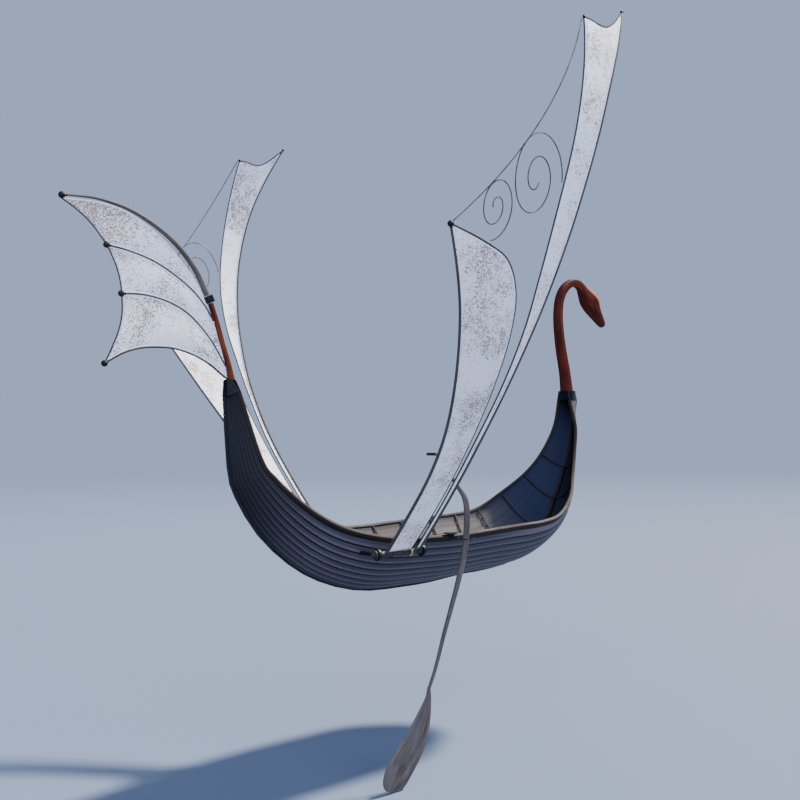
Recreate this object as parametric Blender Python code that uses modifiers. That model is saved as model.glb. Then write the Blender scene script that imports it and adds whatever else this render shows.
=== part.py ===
"""Winged rowing boat: a double-ended clinker hull with a carved swan's neck and
head at the bow, a fin of sailcloth on a bent spar over the stern, a pair of
sail wings that hinge on rollers beside the hull, and a steering oar.

Metres. +X is the bow, +Y is port, +Z is up. The origin is amidships on the
centreline, on the underside of the keel.
"""
import math

import bmesh
import bpy
from mathutils import Matrix, Vector

# Clearance between pieces that touch
GAP = 0.0005

# Hull, from the stern head to the bow head, one row a station with a frame at
# each but the outer two at either end: keel x, keel z, sheer x, half breadth at
# the sheer, sheer z, and the power of the section, 1 for a straight V and more
# for a rounder one
STATIONS = (
    (-2.965, 2.388, -2.870, 0.120, 2.390, 1.40),
    (-2.916, 1.578, -2.700, 0.291, 1.670, 1.40),
    (-2.820, 1.245, -2.570, 0.385, 1.440, 1.40),
    (-2.537, 0.821, -2.330, 0.522, 1.183, 1.40),
    (-2.136, 0.462, -2.040, 0.632, 0.970, 1.40),
    (-1.720, 0.229, -1.700, 0.713, 0.831, 1.40),
    (-1.237, 0.078, -1.250, 0.789, 0.738, 1.40),
    (-0.749, 0.031, -0.749, 0.857, 0.711, 1.40),
    (-0.244, 0.031, -0.250, 0.899, 0.708, 1.45),
    (0.173, 0.058, 0.257, 0.911, 0.730, 1.55),
    (0.607, 0.092, 0.798, 0.896, 0.753, 1.65),
    (1.061, 0.107, 1.274, 0.879, 0.769, 1.68),
    (1.680, 0.208, 1.673, 0.814, 0.833, 1.84),
    (2.231, 0.533, 2.030, 0.695, 1.048, 2.25),
    (2.520, 0.949, 2.337, 0.489, 1.306, 1.92),
    (2.747, 1.400, 2.563, 0.338, 1.600, 1.65),
    (2.872, 1.903, 2.735, 0.221, 1.990, 1.57),
    (2.965, 2.388, 2.730, 0.120, 2.390, 1.57),
)
HULL_STEPS = 34
STRAKES = 9
PLANK_THICKNESS = 0.016
LAP_STEP = 0.011
KEEL_DEPTH = 0.035
KEEL_HALF_WIDTH = 0.020
# Share of the way from keel to sheer where the planks stop and the rail starts
PLANK_TOP = 0.965
RAIL_HEIGHT = 0.034
RAIL_OVERHANG = 0.014
RAIL_CLEARANCE = 0.002

# Frames inside the planking
RIB_EVERY = 2
RIB_FIRST = 4
RIB_LAST = 30
RIB_TOP = 0.955
RIB_WIDTH = 0.022
RIB_DEPTH = 0.016
RIB_CLEARANCE = 0.0025
RIB_BURY = 0.005
KEELSON_HALF_WIDTH = 0.017
KEELSON_DEPTH = 0.024

# Bow: cap, neck and head
BOW_CAP_PLAN = ((2.705, 0.090), (2.860, 0.100), (2.965, 0.035))
BOW_CAP_Z = (2.398, 2.520)
# One row a section along the neck: x, z, half width
NECK = (
    (2.787, 2.521, 0.078),
    (2.750, 2.790, 0.071),
    (2.673, 3.130, 0.067),
    (2.627, 3.440, 0.063),
    (2.622, 3.680, 0.060),
    (2.665, 3.885, 0.059),
    (2.765, 4.035, 0.059),
    (2.900, 4.122, 0.058),
    (3.030, 4.142, 0.058),
    (3.140, 4.100, 0.060),
)
# One row a section along the head: x, z, half depth, half width
HEAD = (
    (3.230, 4.010, 0.085, 0.074),
    (3.330, 3.900, 0.125, 0.092),
    (3.430, 3.790, 0.115, 0.088),
    (3.530, 3.675, 0.085, 0.070),
    (3.615, 3.580, 0.062, 0.056),
    (3.655, 3.540, 0.042, 0.044),
)

NECK_STEPS = 22
HEAD_STEPS = 14

# Stern: cap, post, band and the bent spar of the tail
STERN_CAP_PLAN = ((-2.855, 0.065), (-2.945, 0.042))
STERN_CAP_Z = (2.398, 2.520)
# x, z, half width
STERN_POST = (
    (-2.905, 2.521, 0.040),
    (-2.945, 2.710, 0.031),
    (-3.002, 2.890, 0.027),
    (-3.075, 3.130, 0.026),
    (-3.150, 3.340, 0.026),
)
TAIL_BAND_CENTRE = (-3.170, 3.382)
TAIL_BAND_LENGTH = 0.075
TAIL_BAND_HALF_WIDTH = 0.045
# x, z, radius
TAIL_SPAR = (
    (-3.192, 3.425, 0.027),
    (-3.320, 3.665, 0.026),
    (-3.455, 3.835, 0.025),
    (-3.620, 3.985, 0.023),
    (-3.850, 4.128, 0.020),
    (-4.105, 4.235, 0.017),
    (-4.410, 4.290, 0.013),
    (-4.650, 4.286, 0.010),
    (-4.785, 4.273, 0.009),
)
# Edge of the sailcloth beside the spar, from the tip down: x, z
TAIL_LUFF = (
    (-4.815, 4.252),
    (-4.410, 4.268),
    (-4.105, 4.206),
    (-3.771, 4.020),
    (-3.536, 3.801),
    (-3.347, 3.586),
    (-3.262, 3.430),
    (-3.228, 3.362),
)
# Each rod of the tail from its ball to the post: x, z
TAIL_UPPER_BATTEN = (
    (-4.328, 3.839),
    (-4.096, 3.806),
    (-3.837, 3.736),
    (-3.605, 3.622),
    (-3.382, 3.472),
    (-3.230, 3.318),
    (-3.152, 3.205),
)
TAIL_LOWER_BATTEN = (
    (-4.170, 3.360),
    (-3.935, 3.369),
    (-3.689, 3.329),
    (-3.468, 3.238),
    (-3.296, 3.102),
    (-3.145, 2.935),
    (-3.016, 2.737),
)
TAIL_FOOT_ROD = (
    (-4.348, 2.643),
    (-4.159, 2.754),
    (-3.968, 2.816),
    (-3.772, 2.836),
    (-3.571, 2.829),
    (-3.349, 2.769),
    (-3.155, 2.674),
    (-2.995, 2.556),
)
TAIL_ROD_RADIUS = 0.009
TAIL_BALL_RADIUS = 0.034
TAIL_ROD_GAP = 0.014
# Each panel from the top down, as shares of its length: where it starts and
# ends along its rods, and the depth of the hollow in its after edge
TAIL_PANELS = (
    ("tail_sail_upper", 0.041, 0.935, 0.036),
    ("tail_sail_middle", 0.041, 0.975, 0.027),
    ("tail_sail_lower", 0.041, 0.975, 0.050),
)
CLOTH = 0.003

# Wings. The cloth is bent one way only: its heading above the horizontal, in
# degrees, is a square law of the distance s up the cloth from the roller.
ROLLER_Y = 0.855
ROLLER_Z = 0.566
ROLLER_RADIUS = 0.037
ROLLER_ENDS = (-1.600, -0.860)
ROLLER_DISC_RADIUS = 0.050
ROLLER_DISC_WIDTH = 0.032
BRACKET_X = (-1.550, -0.895)
BRACKET_WIDTH = 0.026
BRACKET_RADIUS = 0.068
BRACKET_BORE = 0.0382
BRACKET_ARM_HALF_WIDTH = 0.0125
BRACKET_ARM_HALF_HEIGHT = 0.021
BRACKET_HULL_GAP = 0.020
BORE_LENGTH = 0.2
ROUND_SEGMENTS = 32
WING_HEADING = (45.1, 1.97, 1.175)
WING_LENGTH = 6.8
WING_STEP = 0.02
# Each edge from the roller to its tip: x, s
AFT_SPAR = (
    (-1.428, 0.00),
    (-1.471, 0.60),
    (-1.525, 1.25),
    (-1.636, 1.83),
    (-1.853, 2.50),
    (-2.154, 3.25),
    (-2.515, 3.94),
)
AFT_ROD = (
    (-1.076, 0.00),
    (-1.128, 0.84),
    (-1.197, 1.61),
    (-1.262, 2.35),
    (-1.335, 2.95),
    (-1.455, 3.39),
    (-1.690, 3.70),
    (-2.020, 3.83),
    (-2.481, 3.936),
)
FORE_ROD = (
    (-1.001, 0.00),
    (-1.128, 1.54),
    (-1.148, 2.42),
    (-1.166, 3.06),
    (-1.198, 3.66),
    (-1.166, 4.33),
    (-1.024, 5.16),
    (-0.804, 6.25),
)
FORE_SPAR = (
    (-0.940, 0.00),
    (-1.058, 1.55),
    (-1.068, 2.52),
    (-1.022, 3.27),
    (-0.937, 3.98),
    (-0.787, 4.74),
    (-0.522, 5.58),
    (-0.075, 6.535),
)
SPAR_RADII = (0.020, 0.012)
EDGE_ROD_RADII = (0.009, 0.009)
EDGE_STEPS = 24
FOOT_CLEARANCE = 0.0035
SAIL_MARGIN = 0.006
TIP_BALL_RADIUS = 0.030
KNOB_RADIUS = 0.019
AFT_SAIL_ENDS = (0.018, 0.975)
FORE_SAIL_ENDS = (0.012, 0.990)
FORE_SAIL_HOLLOW = 0.026
WIRE_RADIUS = 0.006
WIRE_SAG = 0.13
WIRE_STEPS = 16
WIRE_GAP = 0.003
TIE_RADIUS = 0.011
# Each spiral: centre x and s, first angle in degrees, first and last radius, turn in degrees
SPIRALS = (
    (-1.540, 4.490, 3.0, 0.364, 0.045, 690.0),
    (-2.010, 4.165, -82.0, 0.238, 0.030, 640.0),
)
SPIRAL_STRETCH = 1.32
SPIRAL_STEPS = 32

# Steering oar on the starboard side
OAR_X = -0.470
OAR_Y = -1.160
RING_Z = 0.690
RING_RADIUS = 0.098
RING_WIRE = 0.0065
LOCK_ARM_RADIUS = 0.012
LOCK_SEGMENTS = 16
# Low and high corners of the clamp's plate and of the cheek under it
CLAMP_PLATE = ((-0.530, -0.965, 0.7260), (-0.410, -0.845, 0.7400))
CLAMP_CHEEK = ((-0.502, -0.937, 0.6550), (-0.438, -0.909, 0.7300))
# x, y, z, radius, from the blade's throat to the grip
OAR_SHAFT = (
    (-1.060, OAR_Y, -0.905, 0.019),
    (-0.966, OAR_Y, -0.710, 0.021),
    (-0.844, OAR_Y, -0.385, 0.024),
    (-0.710, OAR_Y, -0.060, 0.028),
    (-0.590, OAR_Y, 0.245, 0.032),
    (-0.510, OAR_Y, 0.500, 0.036),
    (OAR_X, OAR_Y, RING_Z, 0.036),
    (-0.452, OAR_Y, 0.880, 0.036),
    (-0.452, -1.158, 1.060, 0.036),
    (-0.458, -1.125, 1.180, 0.034),
    (-0.465, -1.040, 1.285, 0.031),
    (-0.470, -0.945, 1.385, 0.028),
    (-0.470, -0.800, 1.540, 0.024),
    (-0.470, -0.700, 1.640, 0.021),
    (-0.470, -0.662, 1.661, 0.019),
)
GRIP_START = (-0.470, -0.655, 1.662)
GRIP_LENGTH = 0.145
GRIP_RADIUS = 0.019
# x, z of the middle line, half width, half thickness
OAR_BLADE = (
    (-1.0611, -0.9073, 0.0195, 0.0185),
    (-1.0740, -0.9340, 0.0210, 0.0185),
    (-1.088, -1.039, 0.046, 0.017),
    (-1.155, -1.220, 0.107, 0.014),
    (-1.235, -1.382, 0.150, 0.012),
    (-1.338, -1.542, 0.173, 0.010),
    (-1.465, -1.676, 0.188, 0.009),
    (-1.582, -1.805, 0.179, 0.008),
    (-1.640, -1.870, 0.135, 0.007),
    (-1.668, -1.925, 0.050, 0.006),
)


def clear_scene():
    for item in list(bpy.data.objects):
        bpy.data.objects.remove(item, do_unlink=True)


def collection(name):
    group = bpy.data.collections.new(name)
    bpy.context.scene.collection.children.link(group)
    return group


def material(name, colour, roughness, metallic=0.0):
    made = bpy.data.materials.new(name)
    made.use_nodes = True
    shader = made.node_tree.nodes["Principled BSDF"]
    shader.inputs["Base Color"].default_value = (*colour, 1.0)
    shader.inputs["Roughness"].default_value = roughness
    shader.inputs["Metallic"].default_value = metallic
    return made


def add_object(name, mesh, finish, group):
    body = bpy.data.objects.new(name, mesh)
    if finish:
        mesh.materials.append(finish)
    group.objects.link(body)
    return body


def add_bmesh(name, shape, finish, group, smooth=None):
    bmesh.ops.recalc_face_normals(shape, faces=shape.faces)
    mesh = bpy.data.meshes.new(name)
    shape.to_mesh(mesh)
    shape.free()
    if smooth:
        mesh.shade_smooth()
        mesh.set_sharp_from_angle(angle=math.radians(smooth))
    return add_object(name, mesh, finish, group)


def spline(rows, t):
    """Smooth curve through equal rows of numbers, t from 0 to 1."""
    last = len(rows) - 1
    span = min(max(t, 0.0), 1.0) * last
    start = min(int(span), last - 1)
    f = span - start
    before, a, b, after = (Vector(rows[min(max(start + k, 0), last)]) for k in (-1, 0, 1, 2))
    return 0.5 * (2 * a + (b - before) * f + (2 * before - 5 * a + 4 * b - after) * f ** 2
                  + (3 * a - before - 3 * b + after) * f ** 3)


def between(rows, t):
    """Straight-line interpolation through equal rows, t from 0 to 1."""
    span = min(max(t, 0.0), 1.0) * (len(rows) - 1)
    start = min(int(span), len(rows) - 2)
    return rows[start].lerp(rows[start + 1], span - start)


def samples(rows, count):
    return [spline(rows, i / (count - 1)) for i in range(count)]


def mapped_grid(rows):
    """A grid primitive whose rows of vertices are moved onto rows of points."""
    columns = len(rows[0]) - 1
    spans = len(rows) - 1
    shape = bmesh.new()
    bmesh.ops.create_grid(shape, x_segments=columns, y_segments=spans, size=1.0)
    for vert in shape.verts:
        column = round((vert.co.x + 1) / 2 * columns)
        row = round((vert.co.y + 1) / 2 * spans)
        vert.co = rows[row][column]
    return shape


def loft(name, rings, finish, group, smooth=None):
    """One closed body skinned over a run of rings with equal point counts."""
    shape = mapped_grid([list(ring) + [ring[0]] for ring in rings])
    bmesh.ops.remove_doubles(shape, verts=shape.verts, dist=1e-6)
    bmesh.ops.holes_fill(shape, edges=[edge for edge in shape.edges if edge.is_boundary], sides=0)
    return add_bmesh(name, shape, finish, group, smooth)


def sweep_rings(path, section, level_start=False):
    """Rings of a section of (across, depth) offsets along a path in the XZ plane.

    A path row is x, z, half depth, half width; the section is in units of those.
    A level start keeps the first ring flat on what it stands on.
    """
    rings = []
    for i, row in enumerate(path):
        ahead = path[min(i + 1, len(path) - 1)]
        behind = path[max(i - 1, 0)]
        run = Vector((ahead[0] - behind[0], 0.0, ahead[1] - behind[1])).normalized()
        if level_start and i == 0:
            run = Vector((0.0, 0.0, 1.0))
        up = Vector((-run.z, 0.0, run.x))
        centre = Vector((row[0], 0.0, row[1]))
        rings.append([centre + up * depth * row[2] + Vector((0.0, across * row[3], 0.0))
                      for across, depth in section])
    return rings


def swan(finish, group):
    """Neck and head, carved to one run and parted by a plain joint."""
    path = samples([(x, z, half, half) for x, z, half in NECK] + list(HEAD), NECK_STEPS + HEAD_STEPS)
    rings = sweep_rings(path, SQUARE, level_start=True)
    joint = rings[NECK_STEPS]
    run = (joint[0] - rings[NECK_STEPS - 1][0]).normalized()
    loft("swan_neck", rings[:NECK_STEPS] + [[point - run * GAP for point in joint]], finish, group)
    loft("swan_head", rings[NECK_STEPS:], finish, group)


def rod(name, points, radii, finish, group, resolution=2, cyclic=False):
    """Round rod along points, with one radius a point, as a closed mesh."""
    curve = bpy.data.curves.new(name, "CURVE")
    curve.dimensions = "3D"
    curve.bevel_depth = 1.0
    curve.bevel_resolution = resolution
    curve.use_fill_caps = not cyclic
    path = curve.splines.new("POLY")
    path.points.add(len(points) - 1)
    path.use_cyclic_u = cyclic
    for place, point, radius in zip(path.points, points, radii):
        place.co = (*point, 1.0)
        place.radius = radius
    guide = bpy.data.objects.new(name + "_path", curve)
    group.objects.link(guide)
    tube = bpy.data.meshes.new_from_object(guide.evaluated_get(bpy.context.evaluated_depsgraph_get()))
    bpy.data.objects.remove(guide, do_unlink=True)
    shape = bmesh.new()
    shape.from_mesh(tube)
    bmesh.ops.remove_doubles(shape, verts=shape.verts, dist=1e-6)
    return add_bmesh(name, shape, finish, group, smooth=50)


def block(name, low, high, finish, group):
    shape = bmesh.new()
    bmesh.ops.create_cube(shape, size=1.0)
    bmesh.ops.scale(shape, verts=shape.verts, vec=Vector(high) - Vector(low))
    bmesh.ops.translate(shape, verts=shape.verts, vec=(Vector(low) + Vector(high)) / 2)
    return add_bmesh(name, shape, finish, group)


def disc(name, centre, radius, depth, finish, group):
    """Cylinder about a line along X."""
    shape = bmesh.new()
    bmesh.ops.create_cone(shape, cap_ends=True, segments=ROUND_SEGMENTS, radius1=radius, radius2=radius,
                          depth=depth)
    bmesh.ops.rotate(shape, verts=shape.verts, matrix=Matrix.Rotation(math.radians(90), 3, "Y"))
    bmesh.ops.translate(shape, verts=shape.verts, vec=centre)
    return add_bmesh(name, shape, finish, group, smooth=40)


def ball(name, centre, radius, group, finish=None):
    shape = bmesh.new()
    bmesh.ops.create_uvsphere(shape, u_segments=10, v_segments=8, radius=radius)
    bmesh.ops.translate(shape, verts=shape.verts, vec=centre)
    return add_bmesh(name, shape, finish, group, smooth=50)


def unite(body, tools, operation="UNION"):
    """Join or cut a body with hidden tool bodies."""
    for tool in tools:
        tool.hide_render = True
        tool.display_type = "WIRE"
        step = body.modifiers.new(tool.name, "BOOLEAN")
        step.operation = operation
        step.object = tool
    return body


# Hull

def hull_point(t, v, side):
    """Point of the planking at station t, a share v of the way up from the keel."""
    keel_x, keel_z, sheer_x, breadth, sheer_z, power = spline(STATIONS, t)
    keel_z = max(keel_z, KEEL_DEPTH)
    rise = v ** power
    inner = KEEL_HALF_WIDTH + GAP
    y = inner + (breadth - RAIL_OVERHANG - inner) * v
    return Vector((keel_x + (sheer_x - keel_x) * rise, side * y, keel_z + (sheer_z - keel_z) * rise))


def hull_frame(t, v, side):
    """Point on the planking with its directions along, up the section and outward."""
    low = max(v - 0.02, 0.01)
    high = max(min(v + 0.02, 1.0), 0.03)
    along = (hull_point(min(t + 0.004, 1), v, side) - hull_point(max(t - 0.004, 0), v, side)).normalized()
    up = (hull_point(t, high, side) - hull_point(t, low, side)).normalized()
    outward = (along.cross(up) * -side).normalized()
    return hull_point(t, v, side), along, up, outward


def keel_frame(t):
    """Point on the rabbet line with the direction into the boat."""
    point = hull_point(t, 0.0, 0.0)
    run = (hull_point(min(t + 0.004, 1), 0.0, 0.0) - hull_point(max(t - 0.004, 0), 0.0, 0.0)).normalized()
    return point, Vector((-run.z, 0.0, run.x))


def offset_point(t, v, side, distance):
    point, _, _, outward = hull_frame(t, v, side)
    moved = point + outward * distance
    moved.y = side * max(abs(moved.y), KEEL_HALF_WIDTH + GAP)
    return moved


def planking(name, side, finish, group):
    """Clinker planks: each one's lower edge stands out over the plank below it."""
    rings = []
    for step in range(HULL_STEPS + 1):
        t = step / HULL_STEPS
        ring = []
        for strake in range(STRAKES):
            ring.append(offset_point(t, PLANK_TOP * strake / STRAKES, side, LAP_STEP))
            ring.append(offset_point(t, PLANK_TOP * (strake + 1) / STRAKES, side, 0.0))
        for strake in range(STRAKES, -1, -1):
            ring.append(offset_point(t, PLANK_TOP * strake / STRAKES, side, -PLANK_THICKNESS))
        rings.append(ring)
    return loft(name, rings, finish, group, smooth=30)


def keel_bar(name, steps, low, high, half_width, finish, group):
    """Bar along the keel line, from low to high across it, as rings of four."""
    section = ((low, -half_width), (low, half_width), (high, half_width), (high, -half_width))
    rings = []
    for step in steps:
        point, inward = keel_frame(step / HULL_STEPS)
        rings.append([point + inward * depth + Vector((0.0, across, 0.0)) for depth, across in section])
    return loft(name, rings, finish, group)


def gunwale(name, side, finish, group):
    """Rail on the edge of the top strake."""
    inner = -PLANK_THICKNESS - RAIL_OVERHANG
    section = ((RAIL_CLEARANCE, inner), (RAIL_CLEARANCE, RAIL_OVERHANG), (RAIL_HEIGHT, RAIL_OVERHANG),
               (RAIL_HEIGHT, inner))
    rings = []
    for step in range(HULL_STEPS + 1):
        point, _, up, outward = hull_frame(step / HULL_STEPS, PLANK_TOP, side)
        rings.append([point + up * height + outward * across for height, across in section])
    return loft(name, rings, finish, group)


def rib(name, t, group):
    """Bent frame from one gunwale down across the keel to the other."""
    levels = [min(PLANK_TOP * k / STRAKES, RIB_TOP) for k in range(1, STRAKES + 1)]
    floor, inward = keel_frame(t)
    keel_run = Vector((inward.z, 0.0, -inward.x))
    places = [hull_frame(t, v, 1) for v in reversed(levels)]
    places += [(floor, keel_run, inward, -inward)]
    places += [hull_frame(t, v, -1) for v in levels]
    near = PLANK_THICKNESS + RIB_CLEARANCE
    far = near + RIB_DEPTH
    half = RIB_WIDTH / 2
    section = ((half, near), (-half, near), (-half, far), (half, far))
    rings = [[point + run * across - outward * depth for across, depth in section]
             for point, run, _, outward in places]
    return loft(name, rings, None, group)


def frames(name, finish, group, tools):
    """Ribs joined by the keelson that lies on them."""
    base = PLANK_THICKNESS + RIB_CLEARANCE + RIB_DEPTH
    body = keel_bar(name, range(RIB_FIRST, RIB_LAST + 1), base - RIB_BURY, base + KEELSON_DEPTH,
                    KEELSON_HALF_WIDTH, finish, group)
    steps = range(RIB_FIRST, RIB_LAST + 1, RIB_EVERY)
    return unite(body, [rib("rib_%02d" % step, step / HULL_STEPS, tools) for step in steps])


def cap(name, plan, z_range, finish, group):
    """Collar of a stem head: a prism on a plan that is symmetric port and starboard."""
    outline = [(x, y) for x, y in plan] + [(x, -y) for x, y in reversed(plan)]
    rings = [[Vector((x, y, z)) for x, y in outline] for z in z_range]
    return loft(name, rings, finish, group)


SQUARE = ((-1, -0.72), (-0.72, -1), (0.72, -1), (1, -0.72), (1, 0.72), (0.72, 1), (-0.72, 1), (-1, 0.72))
ROUND = tuple((math.cos(math.radians(a)), math.sin(math.radians(a))) for a in range(0, 360, 30))


# Wings

def wing_profile():
    """Distance out, height and heading at each step up the cloth."""
    rows = []
    out = 0.0
    up = 0.0
    for step in range(int(WING_LENGTH / WING_STEP) + 1):
        s = step * WING_STEP
        heading = math.radians(WING_HEADING[0] + WING_HEADING[1] * s + WING_HEADING[2] * s * s)
        rows.append((out, up, heading))
        out += math.cos(heading) * WING_STEP
        up += math.sin(heading) * WING_STEP
    return rows


WING_PROFILE = wing_profile()


def wing_point(x, s, side):
    span = max(s, 0.0) / WING_STEP
    start = min(int(span), len(WING_PROFILE) - 2)
    f = span - start
    out, up, _ = Vector(WING_PROFILE[start]).lerp(Vector(WING_PROFILE[start + 1]), f)
    return Vector((x, side * (ROLLER_Y + out), ROLLER_Z + up))


def shifted(edge, distance, count):
    """Points of a flat edge curve, moved sideways by a distance to its left."""
    points = samples(edge, count)
    moved = []
    for i, point in enumerate(points):
        run = points[min(i + 1, count - 1)] - points[max(i - 1, 0)]
        left = Vector((-run[1], run[0])).normalized()
        moved.append(point + left * distance)
    return moved


def hollow(f, depth):
    """Share of the length lost at f across a hollow-cut edge."""
    return depth * 4 * f * (1 - f)


def panel(name, edge_a, edge_b, ends, cuts, place, finish, group, across=4):
    """Cloth between two flat edge curves, cut hollow at either end.

    The edges are equal lists of flat points from the foot up; ends trims the
    ends of both and cuts is the depth of the hollow at each, as shares of length.
    """
    rows = []
    count = len(edge_a)
    for i in range(count):
        row = []
        for j in range(across + 1):
            f = j / across
            low = ends[0] + hollow(f, cuts[0])
            high = ends[1] - hollow(f, cuts[1])
            t = low + (high - low) * i / (count - 1)
            row.append(place(between(edge_a, t).lerp(between(edge_b, t), f)))
        rows.append(row)
    body = add_bmesh(name, mapped_grid(rows), finish, group, smooth=40)
    thick = body.modifiers.new("cloth", "SOLIDIFY")
    thick.thickness = CLOTH
    thick.offset = 0.0
    return body


def taper(radii, count):
    return [radii[0] + (radii[1] - radii[0]) * i / (count - 1) for i in range(count)]


def hull_breadth(x, z):
    """Half breadth of the planking at a place amidships."""
    low = 0.2
    high = 0.8
    for _ in range(40):
        t = (low + high) / 2
        if spline(STATIONS, t)[2] < x:
            low = t
        else:
            high = t
    _, keel_z, _, _, sheer_z, power = spline(STATIONS, low)
    v = ((z - keel_z) / (sheer_z - keel_z)) ** (1 / power)
    return hull_point(low, v, 1).y


def bracket(name, x, side, finish, group, tools):
    """Arm out from the planking with a ring round the roller."""
    centre = (x, side * ROLLER_Y, ROLLER_Z)
    body = disc(name, centre, BRACKET_RADIUS, BRACKET_WIDTH, finish, group)
    inner = []
    outer = []
    for dx, dz in ((-1, -1), (1, -1), (1, 1), (-1, 1)):
        px = x + dx * BRACKET_ARM_HALF_WIDTH
        pz = ROLLER_Z + dz * BRACKET_ARM_HALF_HEIGHT
        inner.append(Vector((px, side * (hull_breadth(px, pz) + BRACKET_HULL_GAP), pz)))
        outer.append(Vector((px, side * (ROLLER_Y - BRACKET_ARM_HALF_HEIGHT), pz)))
    unite(body, [loft(name + "_arm", [inner, outer], None, tools)])
    unite(body, [disc(name + "_bore", centre, BRACKET_BORE, BORE_LENGTH, None, tools)], "DIFFERENCE")
    return body


def roller(name, side, finish, group):
    """Turned tube with a disc on its after end."""
    disc_end = ROLLER_ENDS[0] + ROLLER_DISC_WIDTH
    profile = ((ROLLER_ENDS[0], 0.0), (ROLLER_ENDS[0], ROLLER_DISC_RADIUS), (disc_end, ROLLER_DISC_RADIUS),
               (disc_end, ROLLER_RADIUS), (ROLLER_ENDS[1], ROLLER_RADIUS), (ROLLER_ENDS[1], 0.0))
    shape = bmesh.new()
    verts = [shape.verts.new((x, radius, 0.0)) for x, radius in profile]
    edges = [shape.edges.new(pair) for pair in zip(verts, verts[1:])]
    bmesh.ops.spin(shape, geom=verts + edges, cent=(0, 0, 0), axis=(1, 0, 0), angle=math.tau,
                   steps=ROUND_SEGMENTS, use_merge=True)
    bmesh.ops.remove_doubles(shape, verts=shape.verts, dist=1e-5)
    bmesh.ops.translate(shape, verts=shape.verts, vec=(0.0, side * ROLLER_Y, ROLLER_Z))
    return add_bmesh(name, shape, finish, group, smooth=40)


def spiral(centre_x, centre_s, first, outer, inner, turn):
    """Flat points of a coil that winds in from its outer radius."""
    curl = []
    for i in range(SPIRAL_STEPS + 1):
        f = i / SPIRAL_STEPS
        angle = math.radians(first + turn * f)
        radius = outer + (inner - outer) * f
        curl.append(Vector((centre_x + radius * math.cos(angle),
                            centre_s + radius * SPIRAL_STRETCH * math.sin(angle))))
    return curl


def wing(word, side, finishes, group, tools):
    """One wing: its roller, spars, edge rods, two panels of cloth and its wire."""
    def on_wing(point):
        return wing_point(point[0], point[1], side)

    def tip(edge):
        return on_wing(edge[-1])

    def wing_rod(name, edge, radii, finish, resolution=2):
        foot = ROLLER_RADIUS + FOOT_CLEARANCE
        points = samples(edge, EDGE_STEPS)
        points[0] = Vector((edge[0][0], foot))
        return rod(name, [on_wing(p) for p in points], taper(radii, EDGE_STEPS), finish, group, resolution)

    roller("%s_wing_roller" % word, side, finishes["roller"], group)
    for place, x in zip(("aft", "fore"), BRACKET_X):
        bracket("%s_bracket_%s" % (word, place), x, side, finishes["iron"], group, tools)

    aft_spar = wing_rod("%s_aft_spar" % word, AFT_SPAR, SPAR_RADII, finishes["spar"])
    unite(aft_spar, [ball("%s_aft_ball" % word, tip(AFT_SPAR), TIP_BALL_RADIUS, tools)])
    wing_rod("%s_aft_edge_rod" % word, AFT_ROD, EDGE_ROD_RADII, finishes["rod"], 1)

    fore_spar = wing_rod("%s_fore_spar" % word, FORE_SPAR, SPAR_RADII, finishes["spar"])
    fore_rod = wing_rod("%s_fore_edge_rod" % word, FORE_ROD, EDGE_ROD_RADII, finishes["rod"], 1)
    unite(fore_spar, [ball("%s_fore_knob" % word, tip(FORE_SPAR), KNOB_RADIUS, tools)])
    unite(fore_rod, [ball("%s_rod_knob" % word, tip(FORE_ROD), KNOB_RADIUS, tools)])

    inset = SPAR_RADII[0] + SAIL_MARGIN
    thin = EDGE_ROD_RADII[0] + SAIL_MARGIN
    panel("%s_aft_sail" % word, shifted(AFT_SPAR, -inset, EDGE_STEPS), shifted(AFT_ROD, thin, EDGE_STEPS),
          AFT_SAIL_ENDS, (0.0, 0.0), on_wing, finishes["cloth"], group)
    panel("%s_fore_sail" % word, shifted(FORE_ROD, -thin, EDGE_STEPS), shifted(FORE_SPAR, inset, EDGE_STEPS),
          FORE_SAIL_ENDS, (0.0, FORE_SAIL_HOLLOW), on_wing, finishes["cloth"], group)

    run = (Vector(FORE_ROD[-1]) - Vector(AFT_SPAR[-1])).normalized()
    start = Vector(AFT_SPAR[-1]) + run * (TIP_BALL_RADIUS + WIRE_GAP)
    stop = Vector(FORE_ROD[-1]) - Vector((KNOB_RADIUS + WIRE_RADIUS + WIRE_GAP, 0.0))
    sag = Vector((run[1], -run[0]))
    line = []
    for i in range(WIRE_STEPS):
        f = i / (WIRE_STEPS - 1)
        line.append(start.lerp(stop, f) + sag * hollow(f, WIRE_SAG))
    points = [on_wing(p) for p in line]
    wire = rod("%s_wire" % word, points, [WIRE_RADIUS] * WIRE_STEPS, finishes["wire"], group, 1)
    extras = []
    for index, row in enumerate(SPIRALS):
        curl = spiral(*row)
        _, spot = min(((a - b).length, b) for a in curl for b in line)
        touch = min(curl, key=lambda a: (a - spot).length)
        label = "%s_spiral_%d" % (word, index + 1)
        extras.append(rod(label, [on_wing(p) for p in curl], [WIRE_RADIUS] * len(curl), None, tools, 1))
        extras.append(rod(label + "_tie", [on_wing(touch), on_wing(spot)], [TIE_RADIUS] * 2, None, tools, 1))
    unite(wire, extras)


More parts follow.
